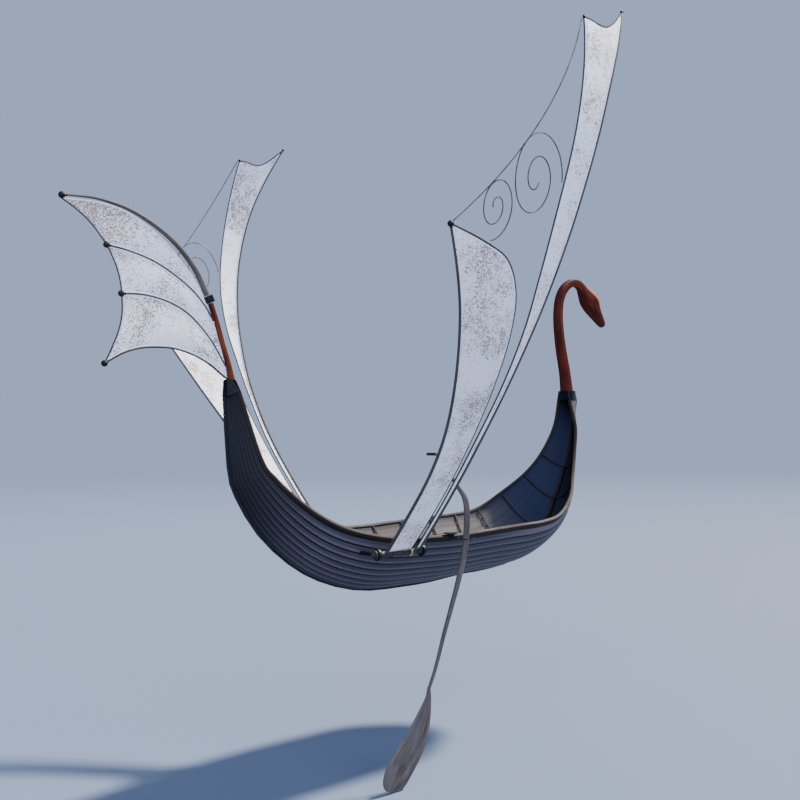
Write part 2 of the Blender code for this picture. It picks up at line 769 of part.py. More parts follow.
def tail(finishes, group, tools):
    """Bent spar and three rods with balls on their ends, and the cloth between them."""
    def flat(point):
        return Vector((point[0], 0.0, point[1]))

    spar_points = samples(TAIL_SPAR, 22)
    radii = [p[2] for p in spar_points]
    spar = rod("tail_spar", [flat(p) for p in spar_points], radii, finishes["spar"], group)
    unite(spar, [ball("tail_spar_ball", flat(TAIL_SPAR[-1]), TAIL_BALL_RADIUS, tools)])
    rods = {
        "tail_upper_batten": TAIL_UPPER_BATTEN,
        "tail_lower_batten": TAIL_LOWER_BATTEN,
        "tail_foot_rod": TAIL_FOOT_ROD,
    }
    for name, line in rods.items():
        points = [flat(p) for p in samples(line, EDGE_STEPS)]
        body = rod(name, points, [TAIL_ROD_RADIUS] * EDGE_STEPS, finishes["rod"], group, 1)
        unite(body, [ball(name + "_ball", flat(line[0]), TAIL_BALL_RADIUS, tools)])
    above = shifted(TAIL_LUFF, 0.0, EDGE_STEPS)
    for (name, first, last, depth), line in zip(TAIL_PANELS, rods.values()):
        below = shifted(line, TAIL_ROD_GAP, EDGE_STEPS)
        panel(name, above, below, (first, last), (depth, 0.0), flat, finishes["cloth"], group)
        above = shifted(line, -TAIL_ROD_GAP, EDGE_STEPS)


def oar(finishes, group, tools):
    points = samples(OAR_SHAFT, 26)
    rod("oar_shaft", [p[:3] for p in points], [p[3] for p in points], finishes["oar"], group)
    rings = []
    for i, row in enumerate(OAR_BLADE):
        ahead = OAR_BLADE[min(i + 1, len(OAR_BLADE) - 1)]
        behind = OAR_BLADE[max(i - 1, 0)]
        run = Vector((ahead[0] - behind[0], 0.0, ahead[1] - behind[1])).normalized()
        side = Vector((-run.z, 0.0, run.x))
        centre = Vector((row[0], OAR_Y, row[1]))
        rings.append([centre + side * a * row[2] + Vector((0.0, b * row[3], 0.0)) for a, b in ROUND])
    loft("oar_blade", rings, finishes["oar"], group, smooth=40)
    ends = [Vector(GRIP_START), Vector(GRIP_START) + Vector((0.0, GRIP_LENGTH, 0.0))]
    rod("oar_grip", ends, [GRIP_RADIUS] * 2, finishes["iron"], group, 3)


def oarlock(finishes, group, tools):
    """Clamp on the gunwale, and the arm and ring that swing in it."""
    clamp = block("oarlock_clamp", *CLAMP_CHEEK, finishes["iron"], group)
    unite(clamp, [block("clamp_plate", *CLAMP_PLATE, None, tools)])
    arm_start = Vector((OAR_X, CLAMP_CHEEK[0][1] - 2 * GAP, RING_Z))
    arm_end = Vector((OAR_X, OAR_Y + RING_RADIUS, RING_Z))
    arm = rod("oarlock_ring", [arm_start, arm_end], [LOCK_ARM_RADIUS] * 2, finishes["iron"], group, 3)
    circle = []
    for k in range(LOCK_SEGMENTS):
        angle = math.tau * k / LOCK_SEGMENTS
        spoke = Vector((math.cos(angle), math.sin(angle), 0.0)) * RING_RADIUS
        circle.append(Vector((OAR_X, OAR_Y, RING_Z)) + spoke)
    unite(arm, [rod("lock_ring", circle, [RING_WIRE] * LOCK_SEGMENTS, None, tools, 2, cyclic=True)])


def main():
    clear_scene()
    group = collection("winged_rowing_boat")
    tools = collection("cutters")
    finishes = {
        "plank": material("dark_planking", (0.045, 0.050, 0.075), 0.75),
        "keel": material("keel_black", (0.012, 0.012, 0.016), 0.6),
        "rail": material("brown_rail", (0.10, 0.065, 0.050), 0.7),
        "frame": material("frame_dark", (0.05, 0.045, 0.045), 0.8),
        "neck": material("red_wood", (0.30, 0.045, 0.020), 0.55),
        "iron": material("black_iron", (0.010, 0.010, 0.014), 0.5, 0.4),
        "roller": material("grey_roller", (0.30, 0.30, 0.34), 0.5),
        "spar": material("grey_spar", (0.09, 0.09, 0.11), 0.6),
        "rod": material("edge_rod", (0.12, 0.11, 0.11), 0.6),
        "wire": material("brown_wire", (0.16, 0.12, 0.10), 0.5, 0.3),
        "cloth": material("sailcloth", (0.75, 0.72, 0.72), 0.85),
        "oar": material("oar_wood", (0.28, 0.26, 0.27), 0.65),
    }
    planking("planking_port", 1, finishes["plank"], group)
    planking("planking_starboard", -1, finishes["plank"], group)
    keel_bar("keel_and_posts", range(HULL_STEPS + 1), -KEEL_DEPTH, PLANK_THICKNESS, KEEL_HALF_WIDTH,
             finishes["keel"], group)
    gunwale("gunwale_port", 1, finishes["rail"], group)
    gunwale("gunwale_starboard", -1, finishes["rail"], group)
    frames("ribs_and_keelson", finishes["frame"], group, tools)
    cap("bow_cap", BOW_CAP_PLAN, BOW_CAP_Z, finishes["iron"], group)
    cap("stern_cap", STERN_CAP_PLAN, STERN_CAP_Z, finishes["iron"], group)
    swan(finishes["neck"], group)
    post = [(p[0], p[1], p[2], p[2]) for p in samples(STERN_POST, 9)]
    loft("stern_post", sweep_rings(post, SQUARE, level_start=True), finishes["neck"], group)
    bx, bz = TAIL_BAND_CENTRE
    run = Vector((TAIL_SPAR[0][0] - STERN_POST[-1][0], TAIL_SPAR[0][1] - STERN_POST[-1][1])).normalized()
    band = [(bx + run[0] * k, bz + run[1] * k, TAIL_BAND_HALF_WIDTH, TAIL_BAND_HALF_WIDTH)
            for k in (-TAIL_BAND_LENGTH / 2, TAIL_BAND_LENGTH / 2)]
    loft("tail_band", sweep_rings(band, SQUARE), finishes["iron"], group)
    tail(finishes, group, tools)
    for word, side in (("port", 1), ("starboard", -1)):
        wing(word, side, finishes, group, tools)
    oarlock(finishes, group, tools)
    oar(finishes, group, tools)


main()
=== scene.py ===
"""Winged rowing boat, dressed piece by piece. Metres: +X is the bow, +Y is port, +Z is up."""

import math

import bmesh
import bpy
from mathutils import Matrix, Vector


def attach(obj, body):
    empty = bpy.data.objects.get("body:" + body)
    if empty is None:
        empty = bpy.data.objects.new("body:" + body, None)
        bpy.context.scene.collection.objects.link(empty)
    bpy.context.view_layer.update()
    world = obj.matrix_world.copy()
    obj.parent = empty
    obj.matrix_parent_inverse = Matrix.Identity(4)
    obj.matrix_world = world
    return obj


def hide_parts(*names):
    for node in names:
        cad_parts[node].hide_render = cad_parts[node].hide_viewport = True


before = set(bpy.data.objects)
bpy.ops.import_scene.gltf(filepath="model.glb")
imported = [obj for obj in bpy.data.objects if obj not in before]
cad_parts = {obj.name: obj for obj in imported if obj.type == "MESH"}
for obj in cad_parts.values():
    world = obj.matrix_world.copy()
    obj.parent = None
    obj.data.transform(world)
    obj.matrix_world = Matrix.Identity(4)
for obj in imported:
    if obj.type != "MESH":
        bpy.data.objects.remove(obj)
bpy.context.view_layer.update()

# Planks. Nine a side, split from larch and bent round the frames, stained slate-grey
# outside and left bare inside. Each one's lower edge laps over the plank below it, and
# they end in the stem and stern posts.
# keel x, keel z, sheer x, half breadth at the sheer, sheer z, power of the section
STATIONS = (
    (-2.965, 2.388, -2.870, 0.120, 2.390, 1.40),
    (-2.916, 1.578, -2.700, 0.291, 1.670, 1.40),
    (-2.820, 1.245, -2.570, 0.385, 1.440, 1.40),
    (-2.537, 0.821, -2.330, 0.522, 1.183, 1.40),
    (-2.136, 0.462, -2.040, 0.632, 0.970, 1.40),
    (-1.720, 0.229, -1.700, 0.713, 0.831, 1.40),
    (-1.237, 0.078, -1.250, 0.789, 0.738, 1.40),
    (-0.749, 0.031, -0.749, 0.857, 0.711, 1.40),
    (-0.244, 0.031, -0.250, 0.899, 0.708, 1.45),
    (0.173, 0.058, 0.257, 0.911, 0.730, 1.55),
    (0.607, 0.092, 0.798, 0.896, 0.753, 1.65),
    (1.061, 0.107, 1.274, 0.879, 0.769, 1.68),
    (1.680, 0.208, 1.673, 0.814, 0.833, 1.84),
    (2.231, 0.533, 2.030, 0.695, 1.048, 2.25),
    (2.520, 0.949, 2.337, 0.489, 1.306, 1.92),
    (2.747, 1.400, 2.563, 0.338, 1.600, 1.65),
    (2.872, 1.903, 2.735, 0.221, 1.990, 1.57),
    (2.965, 2.388, 2.730, 0.120, 2.390, 1.57),
)
KEEL_DEPTH = 0.035
KEEL_EDGE = 0.0205
RAIL_OVERHANG = 0.014
PLANK_TOP = 0.965
STRAKES = 9
PLANK_STEPS = 136
PLANK_LAP = 0.011
PLANK_THICKNESS = 0.013
LAP_SHARE = 0.16


def smooth(rows, t):
    """Smooth curve through equal rows of numbers, t from 0 to 1."""
    last = len(rows) - 1
    span = min(max(t, 0.0), 1.0) * last
    start = min(int(span), last - 1)
    f = span - start
    before, a, b, after = (Vector(rows[min(max(start + k, 0), last)]) for k in (-1, 0, 1, 2))
    return 0.5 * (2 * a + (b - before) * f + (2 * before - 5 * a + 4 * b - after) * f ** 2
                  + (3 * a - before - 3 * b + after) * f ** 3)


def drawn_out(rows, count):
    """Rows at even steps along the smooth curve."""
    return [smooth(rows, i / (count - 1)) for i in range(count)]


def hull_point(t, v, side):
    """Point on the planking's inner face, t from stern to stem and v from keel to rail."""
    keel_x, keel_z, sheer_x, breadth, sheer_z, power = smooth(STATIONS, t)
    keel_z = max(keel_z, KEEL_DEPTH)
    rise = v ** power
    y = KEEL_EDGE + (breadth - RAIL_OVERHANG - KEEL_EDGE) * v
    return Vector((keel_x + (sheer_x - keel_x) * rise, side * y, keel_z + (sheer_z - keel_z) * rise))


def hull_frame(t, v, side):
    """Point on the planking with its directions up the section and outward."""
    low = max(v - 0.02, 0.01)
    high = max(min(v + 0.02, 1.0), 0.03)
    forward = (hull_point(min(t + 0.004, 1), v, side) - hull_point(max(t - 0.004, 0), v, side)).normalized()
    up = (hull_point(t, high, side) - hull_point(t, low, side)).normalized()
    return hull_point(t, v, side), up, (forward.cross(up) * -side).normalized()


def skin(rings, runs, shares, slot=0, slots=None):
    """Closed skin over a run of rings of points, with a map of metres along and a share round."""
    count = len(rings[0])
    points = [point for ring in rings for point in ring]
    faces, corners, fills = [], [], []
    for i in range(len(rings) - 1):
        for j in range(count):
            k = (j + 1) % count
            faces.append((i * count + j, i * count + k, (i + 1) * count + k, (i + 1) * count + j))
            corners.append(((runs[i], shares[j]), (runs[i], shares[j + 1]),
                            (runs[i + 1], shares[j + 1]), (runs[i + 1], shares[j])))
            fills.append(slots[j] if slots else slot)
    for i in (0, len(rings) - 1):
        faces.append(tuple(i * count + j for j in range(count)))
        corners.append(tuple((runs[i], shares[j]) for j in range(count)))
        fills.append(slot)
    return points, faces, corners, fills


def put_in(name, data):
    """New object in the scene, at the origin."""
    made = bpy.data.objects.new(name, data)
    bpy.context.scene.collection.objects.link(made)
    return made


def put_together(name, parts, finishes, body, sharp=35):
    """One object from several skins, with its finishes, on its body."""
    points, faces, corners, fills = [], [], [], []
    for part in parts:
        start = len(points)
        points += part[0]
        faces += [tuple(index + start for index in face) for face in part[1]]
        corners += part[2]
        fills += part[3]
    mesh = bpy.data.meshes.new(name)
    mesh.from_pydata(points, [], faces)
    layer = mesh.uv_layers.new(name="UVMap")
    for polygon, values, fill in zip(mesh.polygons, corners, fills):
        polygon.material_index = fill
        for loop, value in zip(polygon.loop_indices, values):
            layer.data[loop].uv = value
    shape = bmesh.new()
    shape.from_mesh(mesh)
    bmesh.ops.recalc_face_normals(shape, faces=shape.faces)
    shape.to_mesh(mesh)
    shape.free()
    for finish in finishes:
        mesh.materials.append(finish)
    mesh.shade_smooth()
    mesh.set_sharp_from_angle(angle=math.radians(sharp))
    piece = put_in(name, mesh)
    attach(piece, body)
    return piece


def running_lengths(points):
    lengths = [0.0]
    for a, b in zip(points, points[1:]):
        lengths.append(lengths[-1] + (b - a).length)
    return lengths


def fill(tree, made, inputs):
    """Fills a node's inputs with values or links; a colour is given as red, green and blue."""
    for name, value in inputs.items():
        socket = made.inputs[name]
        if isinstance(value, bpy.types.NodeSocket):
            tree.links.new(value, socket)
        else:
            socket.default_value = (*value, 1.0) if socket.type == "RGBA" else value


def node(tree, kind, inputs=None, **settings):
    """Adds a node, sets its options and fills its inputs."""
    made = tree.nodes.new(kind)
    for name, value in settings.items():
        setattr(made, name, value)
    fill(tree, made, inputs or {})
    return made


def maths(tree, operation, a, b=0.0):
    return node(tree, "ShaderNodeMath", {0: a, 1: b}, operation=operation).outputs[0]


def times(tree, a, b):
    return maths(tree, "MULTIPLY", a, b)


def between(tree, factor, a, b):
    """Colour mix from a to b by a factor."""
    return node(tree, "ShaderNodeMix", {0: factor, 6: a, 7: b}, data_type="RGBA").outputs[2]


def noise(tree, place, scale, detail, roughness=0.5):
    inputs = {"Vector": place, "Scale": scale, "Detail": detail, "Roughness": roughness}
    return node(tree, "ShaderNodeTexNoise", inputs).outputs[0]


def coordinates(tree, source):
    return node(tree, "ShaderNodeTexCoord").outputs[source]


def axis(tree, place, letter):
    return node(tree, "ShaderNodeSeparateXYZ", {0: place}).outputs[letter]


def ramp(tree, value, low, high):
    """Share of the way from low to high, held to 0 and 1 at its ends."""
    inputs = {"Value": value, "From Min": low, "From Max": high}
    return node(tree, "ShaderNodeMapRange", inputs, interpolation_type="SMOOTHSTEP").outputs[0]


def new_group(name, inputs, outputs, kind_of_tree="ShaderNodeTree"):
    group = bpy.data.node_groups.new(name, kind_of_tree)
    for label, kind, value in inputs:
        socket = group.interface.new_socket(label, in_out="INPUT", socket_type="NodeSocket" + kind)
        if value is not None:
            socket.default_value = value
    for label, kind in outputs:
        group.interface.new_socket(label, in_out="OUTPUT", socket_type="NodeSocket" + kind)
    return group, group.nodes.new("NodeGroupInput"), group.nodes.new("NodeGroupOutput")


def new_finish(name, source="Object"):
    """A material with its node tree, its coordinates and its shader."""
    finish = bpy.data.materials.new(name)
    finish.use_nodes = True
    tree = finish.node_tree
    return finish, tree, coordinates(tree, source), tree.nodes["Principled BSDF"]


def lifted_by(tree, shader, height, strength, distance, under=None):
    """Small relief from a height map, laid over another one if it is given."""
    bump = node(tree, "ShaderNodeBump", {"Strength": strength, "Distance": distance, "Height": height})
    if under:
        tree.links.new(under, bump.inputs["Normal"])
    tree.links.new(bump.outputs[0], shader.inputs["Normal"])
    return bump.outputs[0]


def redress(name, finish):
    """Gives one of the frame's solids its finish."""
    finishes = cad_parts[name].data.materials
    finishes.clear()
    finishes.append(finish)


# Wood grain: long streaks with the run of the timber, and broad uneven weathering.
grain_group, given, made = new_group(
    "timber_grain",
    (("Place", "Vector", None), ("Along", "Float", 2.0), ("Across", "Float", 60.0), ("Broad", "Float", 2.5)),
    (("Streaks", "Float"), ("Weather", "Float"), ("Height", "Float")))
tree = grain_group
along, across = given.outputs["Along"], given.outputs["Across"]
stretch = node(tree, "ShaderNodeCombineXYZ", {0: along, 1: across, 2: across}).outputs[0]
drawn = node(tree, "ShaderNodeVectorMath", {0: given.outputs["Place"], 1: stretch}, operation="MULTIPLY").outputs[0]
fine = noise(tree, drawn, 1.0, 6.0, 0.62)
broad = noise(tree, given.outputs["Place"], given.outputs["Broad"], 4.0, 0.6)
fill(tree, made, {"Streaks": ramp(tree, fine, 0.32, 0.68), "Weather": ramp(tree, broad, 0.35, 0.65), "Height": fine})


def timber(name, dark, pale, worn_and_lit, along=2.0, across=60.0, broad=2.5, roughness=0.75, bump=0.4, source="UV"):
    """Wood with grain; returns the material, its tree and sockets that a piece may add to."""
    finish, tree, place, shader = new_finish(name, source)
    grain = node(tree, "ShaderNodeGroup", node_tree=grain_group)
    fill(tree, grain, {"Place": place, "Along": along, "Across": across, "Broad": broad})
    streaked = between(tree, grain.outputs["Streaks"], dark, pale)
    colour = between(tree, times(tree, grain.outputs["Weather"], 0.55), streaked, worn_and_lit)
    rough = maths(tree, "ADD", times(tree, grain.outputs["Streaks"], 0.18), roughness - 0.09)
    fill(tree, shader, {"Base Color": colour, "Roughness": rough, "Specular IOR Level": 0.22})
    lifted_by(tree, shader, grain.outputs["Height"], bump, 0.002)
    return finish, tree, place, colour, shader


def recolour(tree, shader, colour):
    tree.links.new(colour, shader.inputs["Base Color"])


def bell(tree, value, middle, half):
    """Mask that is 1 at the middle and 0 a half width away on either side."""
    away = maths(tree, "ABSOLUTE", maths(tree, "SUBTRACT", value, middle))
    return ramp(tree, away, half, 0.0)


def strake_places(tree, place):
    """The plank map's V counts the strakes: V, its place within one strake, and X along the boat."""
    level = axis(tree, place, "Y")
    return level, maths(tree, "FRACT", level), axis(tree, coordinates(tree, "Object"), "X")


slate_planks, tree, place, colour, shader = timber(
    "slate_planks", (0.007, 0.007, 0.013), (0.076, 0.072, 0.112), (0.052, 0.047, 0.062), 1.6, 22.0, 1.1, 0.62, 0.6)
level, share, boat = strake_places(tree, place)
# Painted highlight: the lower part of each strake, and the top strake from amidships to the bow, are lightened as if
# lit by the sun.
painted_highlight_bands = between(tree, times(tree, ramp(tree, share, 0.40, 0.12), 0.56), colour, (0.150, 0.124, 0.130))
top_strake_highlight = times(tree, ramp(tree, level, 8.0, 8.12), bell(tree, boat, 1.45, 1.25))
painted_highlight_bands = between(tree, times(tree, top_strake_highlight, 0.60), painted_highlight_bands, (0.190, 0.150, 0.175))
# The planks go near black towards the stern.
darker_to_stern = between(tree, times(tree, ramp(tree, boat, -1.9, -2.85), 0.93), painted_highlight_bands, (0.002, 0.002, 0.005))
# Painted shadow, partly tar: a near-black band at the top of each strake, under the lap of the plank above.
lap_shadow_and_tar = ramp(tree, share, 0.61, 0.67)
recolour(tree, shader, between(tree, lap_shadow_and_tar, darker_to_stern, (0.0008, 0.001, 0.002)))

bare_planks, tree, place, colour, shader = timber(
    "bare_planks", (0.016, 0.014, 0.014), (0.150, 0.126, 0.112), (0.070, 0.062, 0.062), 0.7, 26.0, 0.9, 0.85, 0.8)
level, share, boat = strake_places(tree, place)
# Painted shadow: the top strake's inside goes dark under the rail, and the inside goes dark blue towards the bow.
rail_shadow = between(tree, times(tree, ramp(tree, level, 8.1, 9.0), 0.85), colour, (0.012, 0.012, 0.016))
shaded = between(tree, times(tree, ramp(tree, boat, 1.5, 2.3), 0.86), rail_shadow, (0.007, 0.014, 0.046))
recolour(tree, shader, between(tree, ramp(tree, share, 0.93, 0.99), shaded, (0.006, 0.005, 0.005)))

SIDES = (("port", 1), ("starboard", -1))
GRAIN_SHIFT = 7.3
for word, side in SIDES:
    strips = []
    for strake in range(STRAKES):
        low = 0.0 if strake == 0 else strake - LAP_SHARE
        outer = [(low, 0.30), (low, 0.85), (low + 0.03, 1.0), (strake + 0.35, 1.0), (strake + 0.7, 1.0),
                 (strake + 0.97, 1.0), (strake + 1.0, 0.7)]
        section = outer + [(strake + 1.0, 0.0), (strake + 0.5, 0.0), (low, 0.0)]
        rings = []
        for step in range(PLANK_STEPS + 1):
            t = step / PLANK_STEPS
            ring = []
            for level, depth in section:
                v = PLANK_TOP * level / STRAKES
                point, _, outward = hull_frame(t, v, side)
                stand = PLANK_LAP * (strake + 1 - level) - PLANK_THICKNESS * (1 - depth)
                point = point + outward * stand
                point.y = side * max(abs(point.y), KEEL_EDGE)
                ring.append(point)
            rings.append(ring)
        middle = [hull_point(step / PLANK_STEPS, PLANK_TOP * (strake + 0.5) / STRAKES, side)
                  for step in range(PLANK_STEPS + 1)]
        runs = [length + strake * GRAIN_SHIFT for length in running_lengths(middle)]
        shares = [strake + min((level - strake + LAP_SHARE) / (1 + LAP_SHARE), 0.999) for level, _ in section]
        shares.append(strake + 0.0)
        inside = [0] * len(outer) + [1] * 2 + [0]
        strips.append(skin(rings, runs, shares, slots=inside))
    piece = put_together(f"planks_{word}", strips, [slate_planks, bare_planks], "hull", 30)
    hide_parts(f"planking_{word}")

# Clench nails. Copper nails with round heads, one every hand's breadth along each lap,
# gone as dark as the planks.
NAIL_EVERY = 0.105
NAIL_SIZE = (0.0058, 0.0032)
NAIL_SINK = 0.0002
NAIL_CLEAR = 0.06
LAP_STEPS = 400
nail_head, tree, place, shader = new_finish("nail_head")
green = noise(tree, place, 30.0, 4.0)
tone = between(tree, ramp(tree, green, 0.40, 0.62), (0.012, 0.010, 0.012), (0.045, 0.038, 0.038))
fill(tree, shader, {"Base Color": tone, "Roughness": ramp(tree, green, 0.85, 0.2), "Metallic": 0.5})

nail_tree, given, made = new_group(
    "clench_nails", (("Places", "Geometry", None), ("Head radius", "Float", None), ("Head height", "Float", None)),
    (("Nails", "Geometry"),), "GeometryNodeTree")
head = node(nail_tree, "GeometryNodeMeshUVSphere", {"Segments": 8, "Rings": 4, "Radius": 1.0})
radius = given.outputs["Head radius"]
size = node(nail_tree, "ShaderNodeCombineXYZ", {0: radius, 1: radius, 2: given.outputs["Head height"]})
facing = node(nail_tree, "GeometryNodeInputNamedAttribute", {"Name": "outward"}, data_type="FLOAT_VECTOR")
turn = node(nail_tree, "FunctionNodeAlignRotationToVector", {"Vector": facing.outputs["Attribute"]}, axis="Z")
nails = node(nail_tree, "GeometryNodeInstanceOnPoints", {
    "Points": given.outputs["Places"], "Instance": head.outputs["Mesh"], "Rotation": turn.outputs["Rotation"],
    "Scale": size.outputs[0]})
solid = node(nail_tree, "GeometryNodeRealizeInstances", {"Geometry": nails.outputs["Instances"]})
dressed = node(nail_tree, "GeometryNodeSetMaterial", {"Geometry": solid.outputs["Geometry"], "Material": nail_head})
nail_tree.links.new(dressed.outputs["Geometry"], made.inputs["Nails"])

for word, side in SIDES:
    spots, facings = [], []
    for strake in range(1, STRAKES):
        level = strake - LAP_SHARE / 2
        v = PLANK_TOP * level / STRAKES
        line = [hull_point(k / LAP_STEPS, v, side) for k in range(LAP_STEPS + 1)]
        runs = running_lengths(line)
        for k in range(1, int(runs[-1] / NAIL_EVERY)):
            reach = k * NAIL_EVERY
            index = next(i for i, run in enumerate(runs) if run >= reach)
            point, _, outward = hull_frame(index / LAP_STEPS, v, side)
            if abs(point.y) > NAIL_CLEAR:
                spots.append(point + outward * (PLANK_LAP * (strake + 1 - level) - NAIL_SINK))
                facings.append(outward)
    mesh = bpy.data.meshes.new("nail_places")
    mesh.from_pydata(spots, [], [])
    layer = mesh.attributes.new("outward", "FLOAT_VECTOR", "POINT")
    layer.data.foreach_set("vector", [value for facing_way in facings for value in facing_way])
    guide = put_in("nail_places", mesh)
    step = guide.modifiers.new("nails", "NODES")
    step.node_group = nail_tree
    for label, value in zip(("Head radius", "Head height"), NAIL_SIZE):
        step[nail_tree.interface.items_tree[label].identifier] = value
    plain = bpy.data.meshes.new_from_object(guide.evaluated_get(bpy.context.evaluated_depsgraph_get()))
    bpy.data.objects.remove(guide)
    piece = put_in(f"clench_nails_{word}", plain)
    plain.shade_smooth()
    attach(piece, "hull")

# Keel and posts. One dark baulk scarfed from stem to stern, tarred.
keel_tar = timber("keel_tar", (0.002, 0.002, 0.004), (0.008, 0.008, 0.012), (0.014, 0.012, 0.014), 3.0, 30.0, 2.0,
                  0.6, 0.4, "Object")[0]
redress("keel_and_posts", keel_tar)

# Gunwales. A brown oak rail on each top plank, rounded by use and weather.
rail_oak, tree, place, colour, shader = timber(
    "rail_oak", (0.005, 0.003, 0.003), (0.020, 0.012, 0.009), (0.013, 0.010, 0.009), 2.0, 60.0, 2.5, 0.7, 0.5)
girth = axis(tree, place, "Y")
corners = maths(tree, "MAXIMUM", bell(tree, girth, 0.012, 0.012), bell(tree, girth, 0.110, 0.010))
rubbed = noise(tree, place, 6.0, 5.0)
rub_and_highlight = times(tree, corners, ramp(tree, rubbed, 0.34, 0.56))
recolour(tree, shader, between(tree, times(tree, rub_and_highlight, 0.8), colour, (0.100, 0.044, 0.020)))
RAIL_SIZE = (-0.009, 0.034)
RAIL_DEPTHS = (-0.030, 0.014)
RAIL_ROUND = 0.008
RAIL_GIRTH = 0.13


def rounded_box(x0, x1, y0, y1, radius, steps=3):
    """Corner points of a rectangle with rounded corners."""
    outline = []
    for cx, cy, first in ((x1 - radius, y1 - radius, 0), (x0 + radius, y1 - radius, 90),
                          (x0 + radius, y0 + radius, 180), (x1 - radius, y0 + radius, 270)):
        for k in range(steps + 1):
            angle = math.radians(first + 90 * k / steps)
            outline.append((cx + radius * math.cos(angle), cy + radius * math.sin(angle)))
    return outline


for word, side in SIDES:
    outline = rounded_box(*RAIL_SIZE, *RAIL_DEPTHS, RAIL_ROUND)
    rings, middle = [], []
    for step in range(PLANK_STEPS + 1):
        point, up, outward = hull_frame(step / PLANK_STEPS, PLANK_TOP, side)
        rings.append([point + up * height + outward * across for height, across in outline])
        middle.append(point)
    shares = [RAIL_GIRTH * k / len(outline) for k in range(len(outline) + 1)]
    rail = skin(rings, running_lengths(middle), shares)
    piece = put_together(f"rail_{word}", [rail], [rail_oak], "hull", 40)
    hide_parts(f"gunwale_{word}")

# Frames and keelson. Steamed ribs bent inside the laps, held down by the keelson.
frame_oak = timber("frame_oak", (0.004, 0.003, 0.004), (0.020, 0.017, 0.017), (0.026, 0.022, 0.022), 6.0, 24.0, 3.0,
                   0.8, 0.5, "Object")[0]
redress("ribs_and_keelson", frame_oak)

# Black ironwork. The forged band, brackets, clamp and ring and the oar's grip, with a
# dull pitted skin.
black_iron, tree, place, shader = new_finish("black_iron")
pits = noise(tree, place, 45.0, 6.0)
cloud = noise(tree, place, 7.0, 3.0)
tone = between(tree, ramp(tree, cloud, 0.42, 0.66), (0.003, 0.003, 0.005), (0.012, 0.011, 0.014))
fill(tree, shader, {"Base Color": tone, "Roughness": ramp(tree, pits, 0.75, 0.2), "Metallic": 0.1,
                    "Specular IOR Level": 0.2})
lifted_by(tree, shader, pits, 0.35, 0.002)
for name in ("tail_band", "oarlock_clamp", "oarlock_ring", "oar_grip", "port_bracket_aft",
             "port_bracket_fore", "starboard_bracket_aft", "starboard_bracket_fore"):
    redress(name, black_iron)

# Caps. Sleeves of sheet iron drawn down over the plank heads at either end, painted
# navy-black, with a lip at the foot and the paint rubbed through on the corners.
cap_iron, tree, place, shader = new_finish("cap_iron")
chips = noise(tree, place, 26.0, 6.0, 0.7)
cloud = noise(tree, place, 9.0, 3.0)
painted = between(tree, ramp(tree, cloud, 0.40, 0.64), (0.0012, 0.0016, 0.003), (0.0050, 0.0058, 0.010))
chipped = between(tree, ramp(tree, chips, 0.60, 0.70), painted, (0.024, 0.019, 0.018))
fill(tree, shader, {"Base Color": chipped, "Roughness": ramp(tree, chips, 0.4, 0.1), "Specular IOR Level": 0.1})
lifted_by(tree, shader, chips, 0.4, 0.002)
CAP_TOP = 2.520
CAP_HEIGHT = 0.15
CAP_GIRTH = 0.5
# How far up the sleeve each ring is, and how far it stands out
CAP_RINGS = ((0.0, -0.009), (0.03, -0.005), (0.12, -0.003), (0.18, -0.005), (0.35, -0.004), (0.60, -0.002),
             (0.96, 0.0), (1.0, -0.004))
# x and y at the foot, the height of the foot there, and x and y at the top
STERN_CAP = (
    (-3.004, 0.000, 2.338, -2.985, 0.000), (-3.003, 0.027, 2.335, -2.983, 0.026),
    (-2.968, 0.060, 2.318, -2.962, 0.047), (-2.928, 0.092, 2.345, -2.930, 0.057),
    (-2.885, 0.124, 2.378, -2.895, 0.059), (-2.862, 0.133, 2.386, -2.872, 0.054),
    (-2.842, 0.121, 2.391, -2.864, 0.043), (-2.842, 0.000, 2.391, -2.862, 0.000),
)
BOW_CAP = (
    (3.005, 0.000, 2.375, 2.952, 0.000), (3.003, 0.028, 2.374, 2.946, 0.030),
    (2.960, 0.052, 2.373, 2.912, 0.064), (2.860, 0.093, 2.374, 2.840, 0.092),
    (2.752, 0.131, 2.378, 2.745, 0.098), (2.716, 0.131, 2.384, 2.712, 0.095),
    (2.698, 0.116, 2.390, 2.702, 0.085), (2.698, 0.000, 2.390, 2.702, 0.000),
)
for name, half, node_name in (("stern_sleeve", STERN_CAP, "stern_cap"), ("bow_sleeve", BOW_CAP, "bow_cap")):
    outline = list(half) + [(row[0], -row[1], row[2], row[3], -row[4]) for row in reversed(half[1:-1])]
    rings = []
    for f, stand in CAP_RINGS:
        ring = [Vector((row[0], row[1], row[2])).lerp(Vector((row[3], row[4], CAP_TOP)), f) for row in outline]
        centre = sum(ring, Vector()) / len(ring)
        rings.append([point + Vector((point.x - centre.x, point.y - centre.y, 0.0)).normalized() * stand
                      for point in ring])
    shares = [CAP_GIRTH * k / len(outline) for k in range(len(outline) + 1)]
    sleeve = skin(rings, [CAP_HEIGHT * f for f, _ in CAP_RINGS], shares)
    piece = put_together(name, [sleeve], [cap_iron], "hull", 50)
    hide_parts(node_name)

